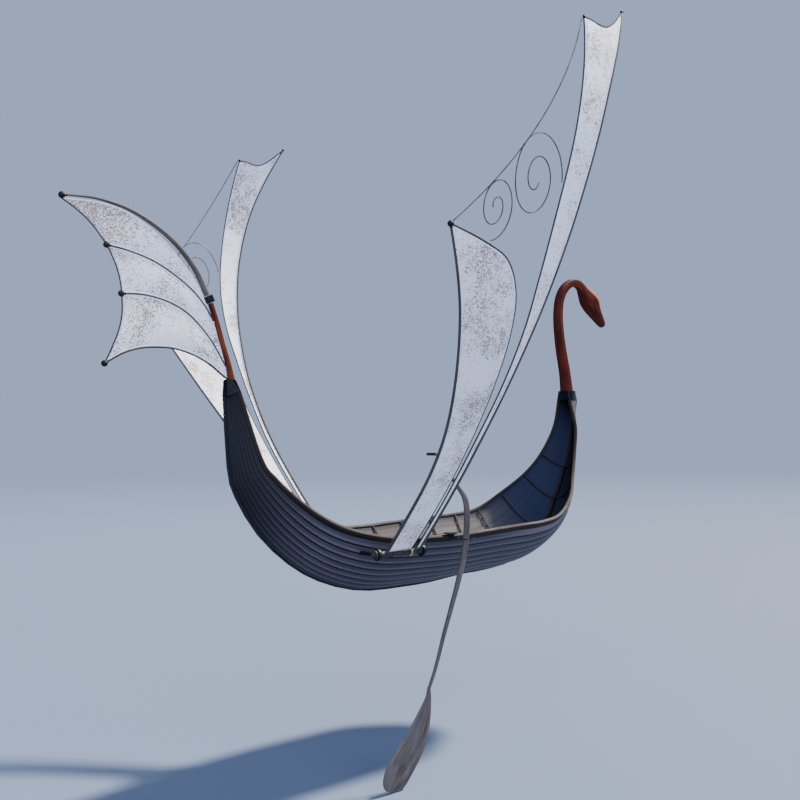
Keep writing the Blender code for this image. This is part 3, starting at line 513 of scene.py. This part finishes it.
# Swan's neck and head. Carved from one bent limb of red wood: square in the neck with
# eased corners, a brow each side of the head, and a blunt worn beak.
# x, z, half depth, half width, squareness
SWAN = (
    (2.787, 2.521, 0.078, 0.078, 4.5), (2.750, 2.790, 0.071, 0.071, 4.2), (2.673, 3.130, 0.067, 0.067, 4.0),
    (2.627, 3.440, 0.064, 0.063, 4.0), (2.622, 3.680, 0.062, 0.060, 4.0), (2.665, 3.885, 0.061, 0.059, 4.0),
    (2.765, 4.035, 0.060, 0.059, 4.0), (2.900, 4.122, 0.059, 0.058, 4.0), (3.030, 4.142, 0.059, 0.058, 4.0),
    (3.140, 4.100, 0.064, 0.060, 3.8), (3.215, 4.020, 0.096, 0.074, 3.4), (3.295, 3.935, 0.140, 0.092, 3.0),
    (3.385, 3.840, 0.142, 0.094, 2.8), (3.475, 3.745, 0.115, 0.083, 2.8), (3.565, 3.650, 0.084, 0.068, 2.8),
    (3.630, 3.583, 0.064, 0.056, 3.0), (3.662, 3.550, 0.046, 0.046, 3.0),
)
SWAN_STEPS = 110
SWAN_SIDES = 32


def superellipse(count, power):
    """Points round a unit shape that is a circle at power 2 and squarer above it."""
    outline = []
    for k in range(count):
        angle = math.tau * k / count
        c, s = math.cos(angle), math.sin(angle)
        size = (abs(c) ** power + abs(s) ** power) ** (-1 / power)
        outline.append((size * c, size * s))
    return outline


def heading_at(path, i):
    """Direction of a line of rows that start with x and z."""
    ahead, behind = path[min(i + 1, len(path) - 1)], path[max(i - 1, 0)]
    return Vector((ahead[0] - behind[0], 0.0, ahead[1] - behind[1])).normalized()


def limb(rows, steps, sides, swell=None):
    """Rings of a limb in the boat's middle plane, level at its foot, and the lengths along it."""
    path = drawn_out(rows, steps)
    rings = []
    for i, row in enumerate(path):
        run = heading_at(path, i) if i else Vector((0.0, 0.0, 1.0))
        up = Vector((-run.z, 0.0, run.x))
        ring = []
        for across, depth in superellipse(sides, row[4]):
            grow = swell(i / (steps - 1), across, depth) if swell else 0.0
            offset = up * depth * (row[2] + grow) + Vector((0.0, across * (row[3] + grow), 0.0))
            ring.append(Vector((row[0], 0.0, row[1])) + offset)
        rings.append(ring)
    return rings, running_lengths([Vector((row[0], 0.0, row[1])) for row in path])


def brow(t, across, depth):
    """Ridge over each eye, along the upper corners of the head."""
    along_head = math.exp(-((t - 0.745) / 0.045) ** 2)
    corner = max(depth, 0.0) * abs(across)
    return 0.040 * along_head * corner ** 1.5


def closed_end(rings, runs, depth, steps=4):
    """Rounds off the last ring to a blunt tip."""
    last = rings[-1]
    centre = sum(last, Vector()) / len(last)
    run = (centre - sum(rings[-2], Vector()) / len(last)).normalized()
    for k in range(1, steps + 1):
        angle = math.radians(90 * k / (steps + 0.35))
        rings.append([centre + (point - centre) * math.cos(angle) + run * depth * math.sin(angle) for point in last])
        runs.append(runs[-1] + depth / steps)


# Metres along the neck at which the head starts, and over which its finish takes over
HEAD_FROM = 1.89
HEAD_BLEND = 0.14


def red_wood(name, dark, red, edge):
    """Red wood: V counts once round the section. Painted highlight, broken into rubbed-looking patches, lies on two
    corners of the neck and moves to the crown where the head starts; painted shade darkens another corner of the
    neck.
    """
    finish, tree, place, colour, shader = timber(name, dark, red, (0.052, 0.010, 0.008), 3.0, 9.0, 3.0, 0.72, 0.5)
    shader.inputs["Specular IOR Level"].default_value = 0.10
    across = axis(tree, place, "Y")
    # Painted highlight, in rubbed-looking patches, on the corners that face the light: the throat corners on the neck
    # and the crown on the head. Painted shade darkens one corner of the neck.
    throat = maths(tree, "MAXIMUM", bell(tree, across, 0.625, 0.035), bell(tree, across, 0.875, 0.035))
    crown = maths(tree, "MAXIMUM", bell(tree, across, 0.125, 0.060), bell(tree, across, 0.375, 0.060))
    on_head = ramp(tree, axis(tree, place, "X"), HEAD_FROM, HEAD_FROM + HEAD_BLEND)
    on_neck = maths(tree, "SUBTRACT", 1.0, on_head)
    corners = maths(tree, "MAXIMUM", times(tree, throat, on_neck), times(tree, crown, on_head))
    shaded_corner = times(tree, bell(tree, across, 0.125, 0.075), on_neck)
    patch = noise(tree, place, 9.0, 5.0)
    rub_and_highlight = times(tree, corners, ramp(tree, patch, 0.30, 0.50))
    worn_and_lit = between(tree, shaded_corner, between(tree, rub_and_highlight, colour, edge), (0.004, 0.002, 0.003))
    grime = noise(tree, place, 5.0, 7.0, 0.7)
    soiled = times(tree, ramp(tree, grime, 0.64, 0.72), 0.7)
    recolour(tree, shader, between(tree, soiled, worn_and_lit, (0.018, 0.020, 0.034)))
    return finish


mahogany = red_wood("mahogany", (0.018, 0.0025, 0.0015), (0.100, 0.015, 0.006), (0.50, 0.080, 0.010))
rings, runs = limb(SWAN, SWAN_STEPS, SWAN_SIDES, brow)
closed_end(rings, runs, 0.022)
shares = [k / SWAN_SIDES for k in range(SWAN_SIDES + 1)]
piece = put_together("swan_neck_and_head", [skin(rings, runs, shares)], [mahogany], "hull", 50)
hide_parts("swan_neck", "swan_head")

# Stern post. The same red wood, with the same painted highlight and shade on its corners, running up from its cap to
# the iron band.
russet = red_wood("russet", (0.026, 0.005, 0.004), (0.190, 0.046, 0.016), (0.46, 0.120, 0.030))
STERN_POST = (
    (-2.905, 2.521, 0.040, 0.040, 6.0), (-2.945, 2.710, 0.031, 0.031, 6.0), (-3.002, 2.890, 0.027, 0.027, 6.0),
    (-3.075, 3.130, 0.026, 0.026, 6.0), (-3.150, 3.340, 0.026, 0.026, 6.0),
)
rings, runs = limb(STERN_POST, 40, 24)
shares = [k / 24 for k in range(25)]
piece = put_together("tail_post", [skin(rings, runs, shares)], [russet], "hull", 50)
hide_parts("stern_post")


# Tail spar, battens and foot rod. Bent ash rods, each with a turned black ball on its tip.
def hoop(centre, side, other, radius, sides):
    """Points of a circle round a centre."""
    angles = [math.tau * k / sides for k in range(sides)]
    return [centre + (side * math.cos(angle) + other * math.sin(angle)) * radius for angle in angles]


def tube(points, radii, sides=12, slot=0):
    """Skin of a round rod along points."""
    count = len(points)
    runs = running_lengths(points)
    directions = [(points[min(i + 1, count - 1)] - points[max(i - 1, 0)]).normalized() for i in range(count)]
    side = directions[0].orthogonal().normalized()
    rings = []
    for point, radius, run in zip(points, radii, directions):
        side = (side - run * side.dot(run)).normalized()
        rings.append(hoop(point, side, run.cross(side), radius, sides))
    shares = [math.tau * radii[0] * k / sides for k in range(sides + 1)]
    return skin(rings, runs, shares, slot)


def turned(centre, way, profile, sides=20, slot=0):
    """Skin of a lathe-turned shape: profile rows are place along its way and radius."""
    way = Vector(way).normalized()
    side = way.orthogonal().normalized()
    other = way.cross(side)
    rings = [hoop(Vector(centre) + way * place, side, other, radius, sides) for place, radius in profile]
    shares = [0.2 * k / sides for k in range(sides + 1)]
    return skin(rings, [place for place, _ in profile], shares, slot)


def ball(centre, way, radius, slot=0):
    """Turned ball with a short collar where the rod enters it."""
    profile = [(radius * -math.cos(math.radians(a)), max(radius * math.sin(math.radians(a)), 0.0006))
               for a in range(0, 151, 15)]
    profile += [(radius * 1.05, radius * 0.42), (radius * 1.45, radius * 0.40), (radius * 1.5, radius * 0.2)]
    return turned(centre, way, profile, 20, slot)


def bent(rows, count):
    """Points of a smooth line in the boat's middle plane."""
    return [Vector((p[0], 0.0, p[1])) for p in drawn_out(rows, count)]


spar_ash = timber(
    "spar_ash", (0.020, 0.017, 0.017), (0.092, 0.078, 0.074), (0.060, 0.052, 0.054), 3.0, 90.0, 3.0, 0.6, 0.4)[0]
tail_ash = timber(
    "tail_ash", (0.028, 0.023, 0.022), (0.135, 0.104, 0.084), (0.080, 0.066, 0.062), 3.0, 70.0, 3.0, 0.6, 0.4)[0]
rod_ash = timber(
    "rod_ash", (0.020, 0.017, 0.017), (0.075, 0.062, 0.058), (0.048, 0.042, 0.044), 4.0, 110.0, 4.0, 0.65, 0.4)[0]
TAIL_SPAR = (
    (-3.192, 3.425, 0.027), (-3.320, 3.665, 0.026), (-3.455, 3.835, 0.025), (-3.620, 3.985, 0.023),
    (-3.850, 4.128, 0.020), (-4.105, 4.235, 0.017), (-4.410, 4.290, 0.013), (-4.650, 4.286, 0.010),
    (-4.785, 4.273, 0.009),
)
TAIL_LUFF = (
    (-4.815, 4.252), (-4.410, 4.268), (-4.105, 4.206), (-3.771, 4.020), (-3.536, 3.801), (-3.347, 3.586),
    (-3.243, 3.390), (-3.160, 3.215),
)
TAIL_RODS = {
    "tail_upper_batten": (
        (-4.328, 3.839), (-4.096, 3.806), (-3.837, 3.736), (-3.605, 3.622), (-3.382, 3.472), (-3.230, 3.318),
        (-3.152, 3.205), (-3.115, 3.150),
    ),
    "tail_lower_batten": (
        (-4.170, 3.360), (-3.935, 3.369), (-3.689, 3.329), (-3.468, 3.238), (-3.296, 3.102), (-3.145, 2.935),
        (-3.016, 2.737), (-2.965, 2.660),
    ),
    "tail_foot_rod": (
        (-4.348, 2.643), (-4.159, 2.754), (-3.968, 2.816), (-3.772, 2.836), (-3.571, 2.829), (-3.349, 2.769),
        (-3.155, 2.674), (-2.995, 2.556), (-2.945, 2.535),
    ),
}
TAIL_BALL = 0.034
TAIL_ROD = 0.0115
SPAR_FULLNESS = 1.18
spar_rows = drawn_out(TAIL_SPAR, 80)
points = [Vector((row[0], 0.0, row[1])) for row in spar_rows]
spar = tube(points, [row[2] * SPAR_FULLNESS for row in spar_rows], 16)
piece = put_together("tail_bent_spar", [spar, ball(points[-1], points[-3] - points[-1], TAIL_BALL, 1)],
                     [tail_ash, black_iron], "hull")
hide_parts("tail_spar")
for name, rows in TAIL_RODS.items():
    points = bent(rows, 60)
    rod = tube(points, [TAIL_ROD] * len(points), 10)
    piece = put_together(f"{name}_dressed", [rod, ball(points[0], points[2] - points[0], TAIL_BALL, 1)],
                         [rod_ash, black_iron], "hull")
    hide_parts(name)

# Sailcloth. Heavy flax in an off-white that has gone to brown spots where it stayed wet.
stain_group, given, made = new_group(
    "wet_stains",
    (("Place", "Vector", None), ("Patch", "Float", 1.9), ("Spot", "Float", 56.0), ("Amount", "Float", 0.5)),
    (("Spots", "Float"), ("Wash", "Float")))
tree = stain_group
place = given.outputs["Place"]
patch = noise(tree, place, given.outputs["Patch"], 3.0, 0.55)
spot = noise(tree, place, given.outputs["Spot"], 4.0, 0.75)
mid = noise(tree, place, 9.0, 5.0, 0.7)
reach = times(tree, ramp(tree, patch, 0.36, 0.68), given.outputs["Amount"])
level = maths(tree, "ADD", spot, times(tree, reach, 0.15))
level = maths(tree, "ADD", level, times(tree, maths(tree, "SUBTRACT", mid, 0.5), 0.26))
fill(tree, made, {"Spots": ramp(tree, level, 0.580, 0.640), "Wash": times(tree, reach, ramp(tree, mid, 0.40, 0.72))})

sailcloth, tree, place, shader = new_finish("sailcloth")
stains = node(tree, "ShaderNodeGroup", node_tree=stain_group)
fill(tree, stains, {"Place": place, "Amount": 0.75})
TAIL_TIP = (-4.55, 0.0, 4.12)
from_tip = node(tree, "ShaderNodeVectorMath", {0: place, 1: TAIL_TIP}, operation="DISTANCE")
tip_stain = ramp(tree, from_tip.outputs["Value"], 1.05, 0.15)
washed = between(tree, times(tree, stains.outputs["Wash"], 0.40), (0.88, 0.87, 0.89), (0.66, 0.46, 0.40))
specks = noise(tree, place, 62.0, 5.0, 0.7)
lifted = maths(tree, "ADD", specks, times(tree, tip_stain, 0.15))
spots = maths(tree, "MAXIMUM", stains.outputs["Spots"], ramp(tree, lifted, 0.595, 0.675))
spotted = between(tree, times(tree, spots, 0.9), washed, (0.240, 0.125, 0.085))
dots = node(tree, "ShaderNodeTexVoronoi", {"Vector": place, "Scale": 14.0}).outputs["Distance"]
dotted = times(tree, ramp(tree, dots, 0.11, 0.07), maths(tree, "MAXIMUM", stains.outputs["Wash"], tip_stain))
cloth_tone = between(tree, times(tree, dotted, 0.9), spotted, (0.045, 0.030, 0.032))
fill(tree, shader, {"Base Color": cloth_tone, "Roughness": 0.85, "Sheen Weight": 0.15})
laid_flat = coordinates(tree, "UV")
weave = lifted_by(tree, shader, noise(tree, laid_flat, 160.0, 3.0), 0.15, 0.001)
lifted_by(tree, shader, noise(tree, laid_flat, 3.5, 3.0), 0.5, 0.012, weave)

# Hems. The same cloth turned over twice and sewn along the rods, and a tarred rope along
# each cut end.
sail_hem, tree, place, shader = new_finish("sail_hem")
laid_flat = coordinates(tree, "UV")
stitch = maths(tree, "FRACT", times(tree, axis(tree, laid_flat, "X"), 60.0))
sewn = times(tree, bell(tree, stitch, 0.5, 0.35), bell(tree, axis(tree, laid_flat, "Y"), 0.25, 0.04))
soil = noise(tree, place, 16.0, 5.0)
aged = between(tree, times(tree, ramp(tree, soil, 0.52, 0.72), 0.6), (0.90, 0.89, 0.90), (0.55, 0.43, 0.41))
fill(tree, shader, {"Base Color": between(tree, sewn, aged, (0.45, 0.40, 0.38)), "Roughness": 0.8})
lifted_by(tree, shader, sewn, 0.5, 0.001)
tarred_rope = timber(
    "tarred_rope", (0.018, 0.016, 0.018), (0.070, 0.058, 0.058), (0.050, 0.045, 0.050), 40.0, 90.0, 9.0, 0.85, 0.6)[0]

CLOTH_THICKNESS = 0.002
HEM_SIZE = (0.0085, 0.0028)
ROPE_RADIUS = 0.0085


def cloth(name, edge_a, edge_b, ends, hollows, insets, depth, place_on, body, node_name, across=14,
          count=90, skew=1.0):
    """Sheet laced between two rods, with its hems, and a rope along each hollow-cut end.

    Edges are flat points from foot to head; ends and hollows are shares of their length."""
    def flat_point(t, f):
        return Vector(smooth(edge_a, t)[:2]).lerp(Vector(smooth(edge_b, t)[:2]), f)

    def cut(end, f):
        g = f ** skew
        return ends[end] + (1 - 2 * end) * hollows[end] * 4 * g * (1 - g)

    def out_of_cloth(p):
        spot = place_on(p)
        side_step = place_on(p + Vector((0.01, 0.0))) - spot
        up_step = place_on(p + Vector((0.0, 0.01))) - spot
        return side_step.cross(up_step).normalized()

    def filled(f, share):
        """Place on the cloth, blown out a little in its middle."""
        low, high = cut(0, f), cut(1, f)
        p = flat_point(low + (high - low) * share, f)
        return place_on(p) + out_of_cloth(p) * depth * 4 * f * (1 - f) * math.sin(math.pi * share)

    grid = [(j / across, i / count) for i in range(count + 1) for j in range(across + 1)]
    flat = [flat_point(cut(0, f) + (cut(1, f) - cut(0, f)) * share, f) for f, share in grid]
    points = [filled(f, share) for f, share in grid]
    width = across + 1
    faces = [(i * width + j, i * width + j + 1, (i + 1) * width + j + 1, (i + 1) * width + j)
             for i in range(count) for j in range(across)]
    mesh = bpy.data.meshes.new(name)
    mesh.from_pydata(points, [], faces)
    layer = mesh.uv_layers.new(name="UVMap")
    for loop in mesh.loops:
        layer.data[loop.index].uv = flat[loop.vertex_index]
    mesh.materials.append(sailcloth)
    mesh.shade_smooth()
    piece = put_in(name, mesh)
    thick = piece.modifiers.new("cloth", "SOLIDIFY")
    thick.thickness = CLOTH_THICKNESS
    thick.offset = 0.0

    strips = []
    for first, inset in ((0.0, insets[0]), (1.0, insets[1])):
        rings, centres = [], []
        for i in range(count + 1):
            broad = (flat_point(i / count, 0.0) - flat_point(i / count, 1.0)).length
            f = abs(first - min(inset / max(broad, 0.001), 0.42))
            centres.append(filled(f, i / count))
        for i, centre in enumerate(centres):
            run = (centres[min(i + 1, count)] - centres[max(i - 1, 0)]).normalized()
            proud = out_of_cloth(flat_point(i / count, first))
            sideways = run.cross(proud).normalized()
            rings.append([centre + sideways * c * HEM_SIZE[0] + proud * d * HEM_SIZE[1]
                          for c, d in superellipse(8, 2.6)])
        strips.append(skin(rings, running_lengths(centres), [k / 8 for k in range(9)]))
    ropes = []
    for end in (0, 1):
        if hollows[end]:
            line = [place_on(flat_point(cut(end, j / 24), j / 24)) for j in range(25)]
            ropes.append(tube(line, [ROPE_RADIUS] * 25, 8, 1))
    hems = put_together(name + "_hems", strips + ropes, [sail_hem, tarred_rope], body)

    area = sum(polygon.area for polygon in mesh.polygons)
    length = max(running_lengths([points[i * width + j] for i in range(count + 1)])[-1] for j in (0, across // 2))
    wide = max((points[i * width] - points[i * width + across]).length for i in range(count + 1))
    wide = max(wide, area / length)
    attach(piece, body)
    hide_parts(node_name)


def on_middle(p):
    return Vector((p[0], 0.0, p[1]))


TAIL_PANELS = (
    ("tail_cloth_upper", "tail_sail_upper", TAIL_LUFF, "tail_upper_batten", 0.036),
    ("tail_cloth_middle", "tail_sail_middle", TAIL_RODS["tail_upper_batten"], "tail_lower_batten", 0.027),
    ("tail_cloth_lower", "tail_sail_lower", TAIL_RODS["tail_lower_batten"], "tail_foot_rod", 0.050),
)
for name, node_name, above, below, hollow in TAIL_PANELS:
    cloth(name, above, TAIL_RODS[below], (0.006, 0.995), (hollow, 0.0), (0.018, 0.018), 0.014, on_middle, "hull",
          node_name, 12, 50)

# Wings. Two narrow panels a side on bent ash spars and rods, stepped in a turned roller
# between two brackets. The outline is drawn flat, then bent outward with the wing.
ROLLER_Y = 0.855
ROLLER_Z = 0.566
# Lean of the wing at its foot in degrees, and how that grows with the height and its square
WING_HEADING = (45.1, 1.97, 1.175)
WING_STEP = 0.02
WING_STEPS = 345
AFT_SPAR = (
    (-1.428, 0.00), (-1.471, 0.60), (-1.525, 1.25), (-1.636, 1.83), (-1.853, 2.50), (-2.154, 3.25),
    (-2.515, 3.94),
)
AFT_ROD = (
    (-1.076, 0.00), (-1.128, 0.84), (-1.197, 1.61), (-1.262, 2.35), (-1.335, 2.95), (-1.455, 3.39),
    (-1.690, 3.70), (-2.020, 3.83), (-2.481, 3.936),
)
FORE_ROD = (
    (-1.001, 0.00), (-1.128, 1.54), (-1.148, 2.42), (-1.166, 3.06), (-1.198, 3.66), (-1.166, 4.33),
    (-1.024, 5.16), (-0.804, 6.25),
)
FORE_SPAR = (
    (-0.940, 0.00), (-1.058, 1.55), (-1.068, 2.52), (-1.022, 3.27), (-0.937, 3.98), (-0.787, 4.74),
    (-0.522, 5.58), (-0.075, 6.535),
)
profile = [(0.0, 0.0)]
for step in range(WING_STEPS):
    s = step * WING_STEP
    heading = math.radians(WING_HEADING[0] + WING_HEADING[1] * s + WING_HEADING[2] * s * s)
    out, up = profile[-1]
    profile.append((out + math.cos(heading) * WING_STEP, up + math.sin(heading) * WING_STEP))


def wing_point(p, side):
    span = max(p[1], 0.0) / WING_STEP
    start = min(int(span), len(profile) - 2)
    out, up = Vector(profile[start]).lerp(Vector(profile[start + 1]), span - start)
    return Vector((p[0], side * (ROLLER_Y + out), ROLLER_Z + up))


# Wire. A rusty iron wire from the head of the aft spar to the head of the fore edge rod, and
# two curls held to it by small clamps. A curl is x, height, first angle, outer and inner
# radius, and turn.
WIRE_SAG = 0.13
SPIRALS = (
    (-1.540, 4.490, 3.0, 0.364, 0.045, 690.0),
    (-2.010, 4.165, -82.0, 0.238, 0.030, 640.0),
)
SPIRAL_STRETCH = 1.32
WIRE_RADIUS = 0.006
wire_brown, tree, place, shader = new_finish("wire_brown")
rust = noise(tree, place, 12.0, 5.0)
tone = between(tree, ramp(tree, rust, 0.4, 0.62), (0.055, 0.045, 0.042), (0.110, 0.074, 0.058))
fill(tree, shader, {"Base Color": tone, "Roughness": ramp(tree, rust, 0.8, 0.3), "Metallic": 0.3})

roller_grey, tree, place, shader = new_finish("roller_grey")
scrape = noise(tree, place, 18.0, 7.0, 0.7)
tone = between(tree, ramp(tree, scrape, 0.35, 0.66), (0.010, 0.009, 0.011), (0.046, 0.040, 0.040))
fill(tree, shader, {"Base Color": tone, "Roughness": ramp(tree, scrape, 1.1, 0.1), "Specular IOR Level": 0.2})

bare_ash = timber(
    "bare_ash", (0.230, 0.140, 0.090), (0.520, 0.370, 0.260), (0.400, 0.290, 0.220), 5.0, 90.0, 5.0, 0.7, 0.4)[0]
HOOK_REACH = 0.047
HOOK_RADIUS = 0.010
SPAR_FOOT = 0.0405
ROD_STEPS = 90
# Rod, its flat line, radius at foot and head, finish, slot, and its ball's radius
WING_RODS = (
    ("aft_spar", AFT_SPAR, (0.020, 0.012), spar_ash, "spar", 0.030),
    ("fore_spar", FORE_SPAR, (0.020, 0.012), spar_ash, "spar", 0.019),
    ("aft_edge_rod", AFT_ROD, (0.009, 0.009), rod_ash, "edge_rod", 0.0),
    ("fore_edge_rod", FORE_ROD, (0.009, 0.009), rod_ash, "edge_rod", 0.019),
)
# Places along the roller and radii there, from its big after collar to its fore end
BARREL = (
    (-1.600, 0.001), (-1.600, 0.016), (-1.597, 0.018), (-1.597, 0.040), (-1.600, 0.043), (-1.600, 0.047),
    (-1.596, 0.050), (-1.572, 0.050), (-1.568, 0.047), (-1.568, 0.038), (-1.560, 0.037), (-0.925, 0.037),
    (-0.924, 0.0415), (-0.921, 0.043), (-0.914, 0.043), (-0.911, 0.0415), (-0.910, 0.037), (-0.866, 0.037),
    (-0.862, 0.035), (-0.860, 0.031), (-0.860, 0.001),
)
CLAMP = ((-0.015, 0.005), (-0.013, 0.0095), (0.013, 0.0095), (0.015, 0.005))

for word, side in SIDES:
    body = f"wing_{word}"

    def on_wing(p, side=side):
        return wing_point(p, side)

    for label, rows, radii, finish, slot, tip in WING_RODS:
        line = drawn_out(rows, ROD_STEPS)
        line[0][1] = SPAR_FOOT
        points = [on_wing(p) for p in line]
        sizes = [radii[0] + (radii[1] - radii[0]) * i / (ROD_STEPS - 1) for i in range(ROD_STEPS)]
        parts = [tube(points, sizes, 12)]
        if tip:
            parts.append(ball(points[-1], points[-3] - points[-1], tip, 1))
        if label == "aft_edge_rod":
            hook = [Vector((rows[0][0], side * (ROLLER_Y + HOOK_REACH * math.cos(math.radians(a))),
                            ROLLER_Z + HOOK_REACH * math.sin(math.radians(a)))) for a in range(60, -76, -5)]
            parts.append(tube(hook, [HOOK_RADIUS] * len(hook), 10, 2))
        piece = put_together(f"{word}_{label}_dressed", parts, [finish, black_iron, bare_ash], body)
        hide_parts(f"{word}_{label}")

    cloth(f"{word}_aft_cloth", AFT_SPAR, AFT_ROD, (0.012, 0.985), (0.0, 0.0), (0.030, 0.018), -0.014 * side,
          on_wing, body, f"{word}_aft_sail")
    cloth(f"{word}_fore_cloth", FORE_ROD, FORE_SPAR, (0.010, 0.998), (0.0, 0.032), (0.018, 0.028), -0.010 * side,
          on_wing, body, f"{word}_fore_sail", 10, 120, 1.45)

    centre = Vector((0.0, side * ROLLER_Y, ROLLER_Z))
    barrel = turned(centre, (1, 0, 0), BARREL, 40)
    piece = put_together(f"{word}_roller_turned", [barrel], [roller_grey], body, 30)
    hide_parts(f"{word}_wing_roller")

    run = (Vector(FORE_ROD[-1]) - Vector(AFT_SPAR[-1])).normalized()
    start = Vector(AFT_SPAR[-1]) + run * 0.033
    stop = Vector(FORE_ROD[-1]) - Vector((0.028, 0.0))
    sag = Vector((run[1], -run[0]))
    line = [start.lerp(stop, f) + sag * WIRE_SAG * 4 * f * (1 - f) for f in [i / 60 for i in range(61)]]
    parts = [tube([on_wing(p) for p in line], [WIRE_RADIUS] * len(line), 8)]
    for cx, cs, first, outer, inner, turn in SPIRALS:
        curl = []
        for f in [i / 140 for i in range(141)]:
            angle = math.radians(first + turn * f)
            radius = outer + (inner - outer) * f
            curl.append(Vector((cx + radius * math.cos(angle), cs + radius * SPIRAL_STRETCH * math.sin(angle))))
        parts.append(tube([on_wing(p) for p in curl], [WIRE_RADIUS] * len(curl), 8))
        _, spot = min(((a - b).length, b) for a in curl for b in line)
        touch = min(curl, key=lambda a: (a - spot).length)
        along_wire = on_wing(spot + run * 0.1) - on_wing(spot)
        parts.append(turned(on_wing((touch + spot) / 2), along_wire, CLAMP, 12))
    piece = put_together(f"{word}_wire_and_curls", parts, [wire_brown], body)
    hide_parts(f"{word}_wire")

# Steering oar. A curved loom and a long blade shaved from one grey board, and a black grip
# set across the loom's end.
OAR_Y = -1.160
# x, y, z, radius
OAR_SHAFT = (
    (-1.060, OAR_Y, -0.905, 0.019), (-0.966, OAR_Y, -0.710, 0.021), (-0.844, OAR_Y, -0.385, 0.024),
    (-0.710, OAR_Y, -0.060, 0.028), (-0.590, OAR_Y, 0.245, 0.032), (-0.510, OAR_Y, 0.500, 0.036),
    (-0.470, OAR_Y, 0.690, 0.036), (-0.452, OAR_Y, 0.880, 0.036), (-0.452, -1.158, 1.060, 0.036),
    (-0.458, -1.125, 1.180, 0.034), (-0.465, -1.040, 1.285, 0.031), (-0.470, -0.945, 1.385, 0.028),
    (-0.470, -0.800, 1.540, 0.024), (-0.470, -0.700, 1.640, 0.021), (-0.470, -0.662, 1.661, 0.019),
)
# x, z of the middle line, half width, half thickness
OAR_BLADE = (
    (-1.0611, -0.9073, 0.0195, 0.0185), (-1.0740, -0.9340, 0.0210, 0.0185), (-1.088, -1.039, 0.046, 0.017),
    (-1.155, -1.220, 0.107, 0.014), (-1.235, -1.382, 0.150, 0.012), (-1.338, -1.542, 0.173, 0.010),
    (-1.465, -1.676, 0.188, 0.009), (-1.582, -1.805, 0.179, 0.008), (-1.640, -1.870, 0.135, 0.007),
    (-1.668, -1.925, 0.050, 0.006),
)
BLADE_REACH = 0.19
oar_wood = timber(
    "oar_wood", (0.026, 0.021, 0.020), (0.115, 0.092, 0.084), (0.070, 0.062, 0.066), 2.5, 16.0, 2.5, 0.6, 0.5)[0]
rows = drawn_out(OAR_SHAFT, 120)
loom = tube([Vector(row[:3]) for row in rows], [row[3] for row in rows], 20)
piece = put_together("oar_loom", [loom], [oar_wood], "oar")
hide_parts("oar_shaft")
blade_rows = drawn_out(OAR_BLADE, 70)
rings = []
for i, row in enumerate(blade_rows):
    run = heading_at(blade_rows, i)
    across = Vector((-run.z, 0.0, run.x))
    rings.append([Vector((row[0], OAR_Y, row[1])) + across * c * row[2] + Vector((0.0, s * row[3], 0.0))
                  for c, s in superellipse(28, 2.3)])
runs = running_lengths([Vector((row[0], 0.0, row[1])) for row in blade_rows])
shares = [BLADE_REACH * math.cos(math.tau * k / 28) for k in range(29)]
piece = put_together("oar_blade_shaved", [skin(rings, runs, shares)], [oar_wood], "oar")
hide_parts("oar_blade")

# Floor, light and camera. A plain matt floor that fades into the blue backdrop, one warm
# lamp from ahead and above, and a broad cool one from the near side.
BACKDROP = (0.36, 0.46, 0.68)
floor_paint, tree, place, shader = new_finish("floor_paint")
fill(tree, shader, {"Base Color": (0.105, 0.135, 0.200), "Roughness": 0.9})
away = node(tree, "ShaderNodeVectorMath", {0: place}, operation="LENGTH")
glow = node(tree, "ShaderNodeEmission", {"Color": BACKDROP})
far = ramp(tree, away.outputs["Value"], 6.0, 90.0)
sweep = node(tree, "ShaderNodeMixShader", {0: far, 1: shader.outputs[0], 2: glow.outputs[0]})
tree.links.new(sweep.outputs[0], tree.nodes["Material Output"].inputs["Surface"])
FLOOR_Z = -1.956
FLOOR_HALF = 400
floor_mesh = bpy.data.meshes.new("floor")
floor_mesh.from_pydata([(FLOOR_HALF * x, FLOOR_HALF * y, FLOOR_Z) for x, y in ((-1, -1), (1, -1), (1, 1), (-1, 1))],
                       [], [(0, 1, 2, 3)])
floor_mesh.materials.append(floor_paint)
floor = put_in("floor", floor_mesh)

world = bpy.data.worlds.new("studio")
world.use_nodes = True
world.node_tree.nodes["Background"].inputs["Color"].default_value = (*BACKDROP, 1.0)
bpy.context.scene.world = world
for name, energy, spread, colour, toward in (
        ("key", 12.0, 6, (1.0, 0.95, 0.88), (0.62, -0.08, 0.78)),
        ("fill", 4.4, 80, (0.64, 0.74, 1.0), (-0.45, -0.80, 0.40))):
    lamp = bpy.data.lights.new(name, "SUN")
    lamp.energy = energy
    lamp.angle = math.radians(spread)
    lamp.color = colour
    put_in(name, lamp).rotation_euler = Vector(toward).to_track_quat("Z", "Y").to_euler()

CAMERA_AT = (-8.3846, -9.2182, 1.9209)
heading, tilt, lean = (math.radians(angle) for angle in (49.327, 1.957, -0.533))
ahead = Vector((math.cos(heading) * math.cos(tilt), math.sin(heading) * math.cos(tilt), math.sin(tilt)))
right = Vector((math.sin(heading), -math.cos(heading), 0.0))
above = right.cross(ahead)
camera_data = bpy.data.cameras.new("camera")
camera_data.sensor_width = 36.0
camera_data.lens = 43.47
camera_data.clip_end = 2000.0
camera = put_in("camera", camera_data)
turned_right = right * math.cos(lean) + above * math.sin(lean)
turned_up = above * math.cos(lean) - right * math.sin(lean)
turn = [[turned_right[k], turned_up[k], -ahead[k], CAMERA_AT[k]] for k in range(3)] + [[0, 0, 0, 1]]
camera.matrix_world = Matrix(turn)
bpy.context.scene.camera = camera
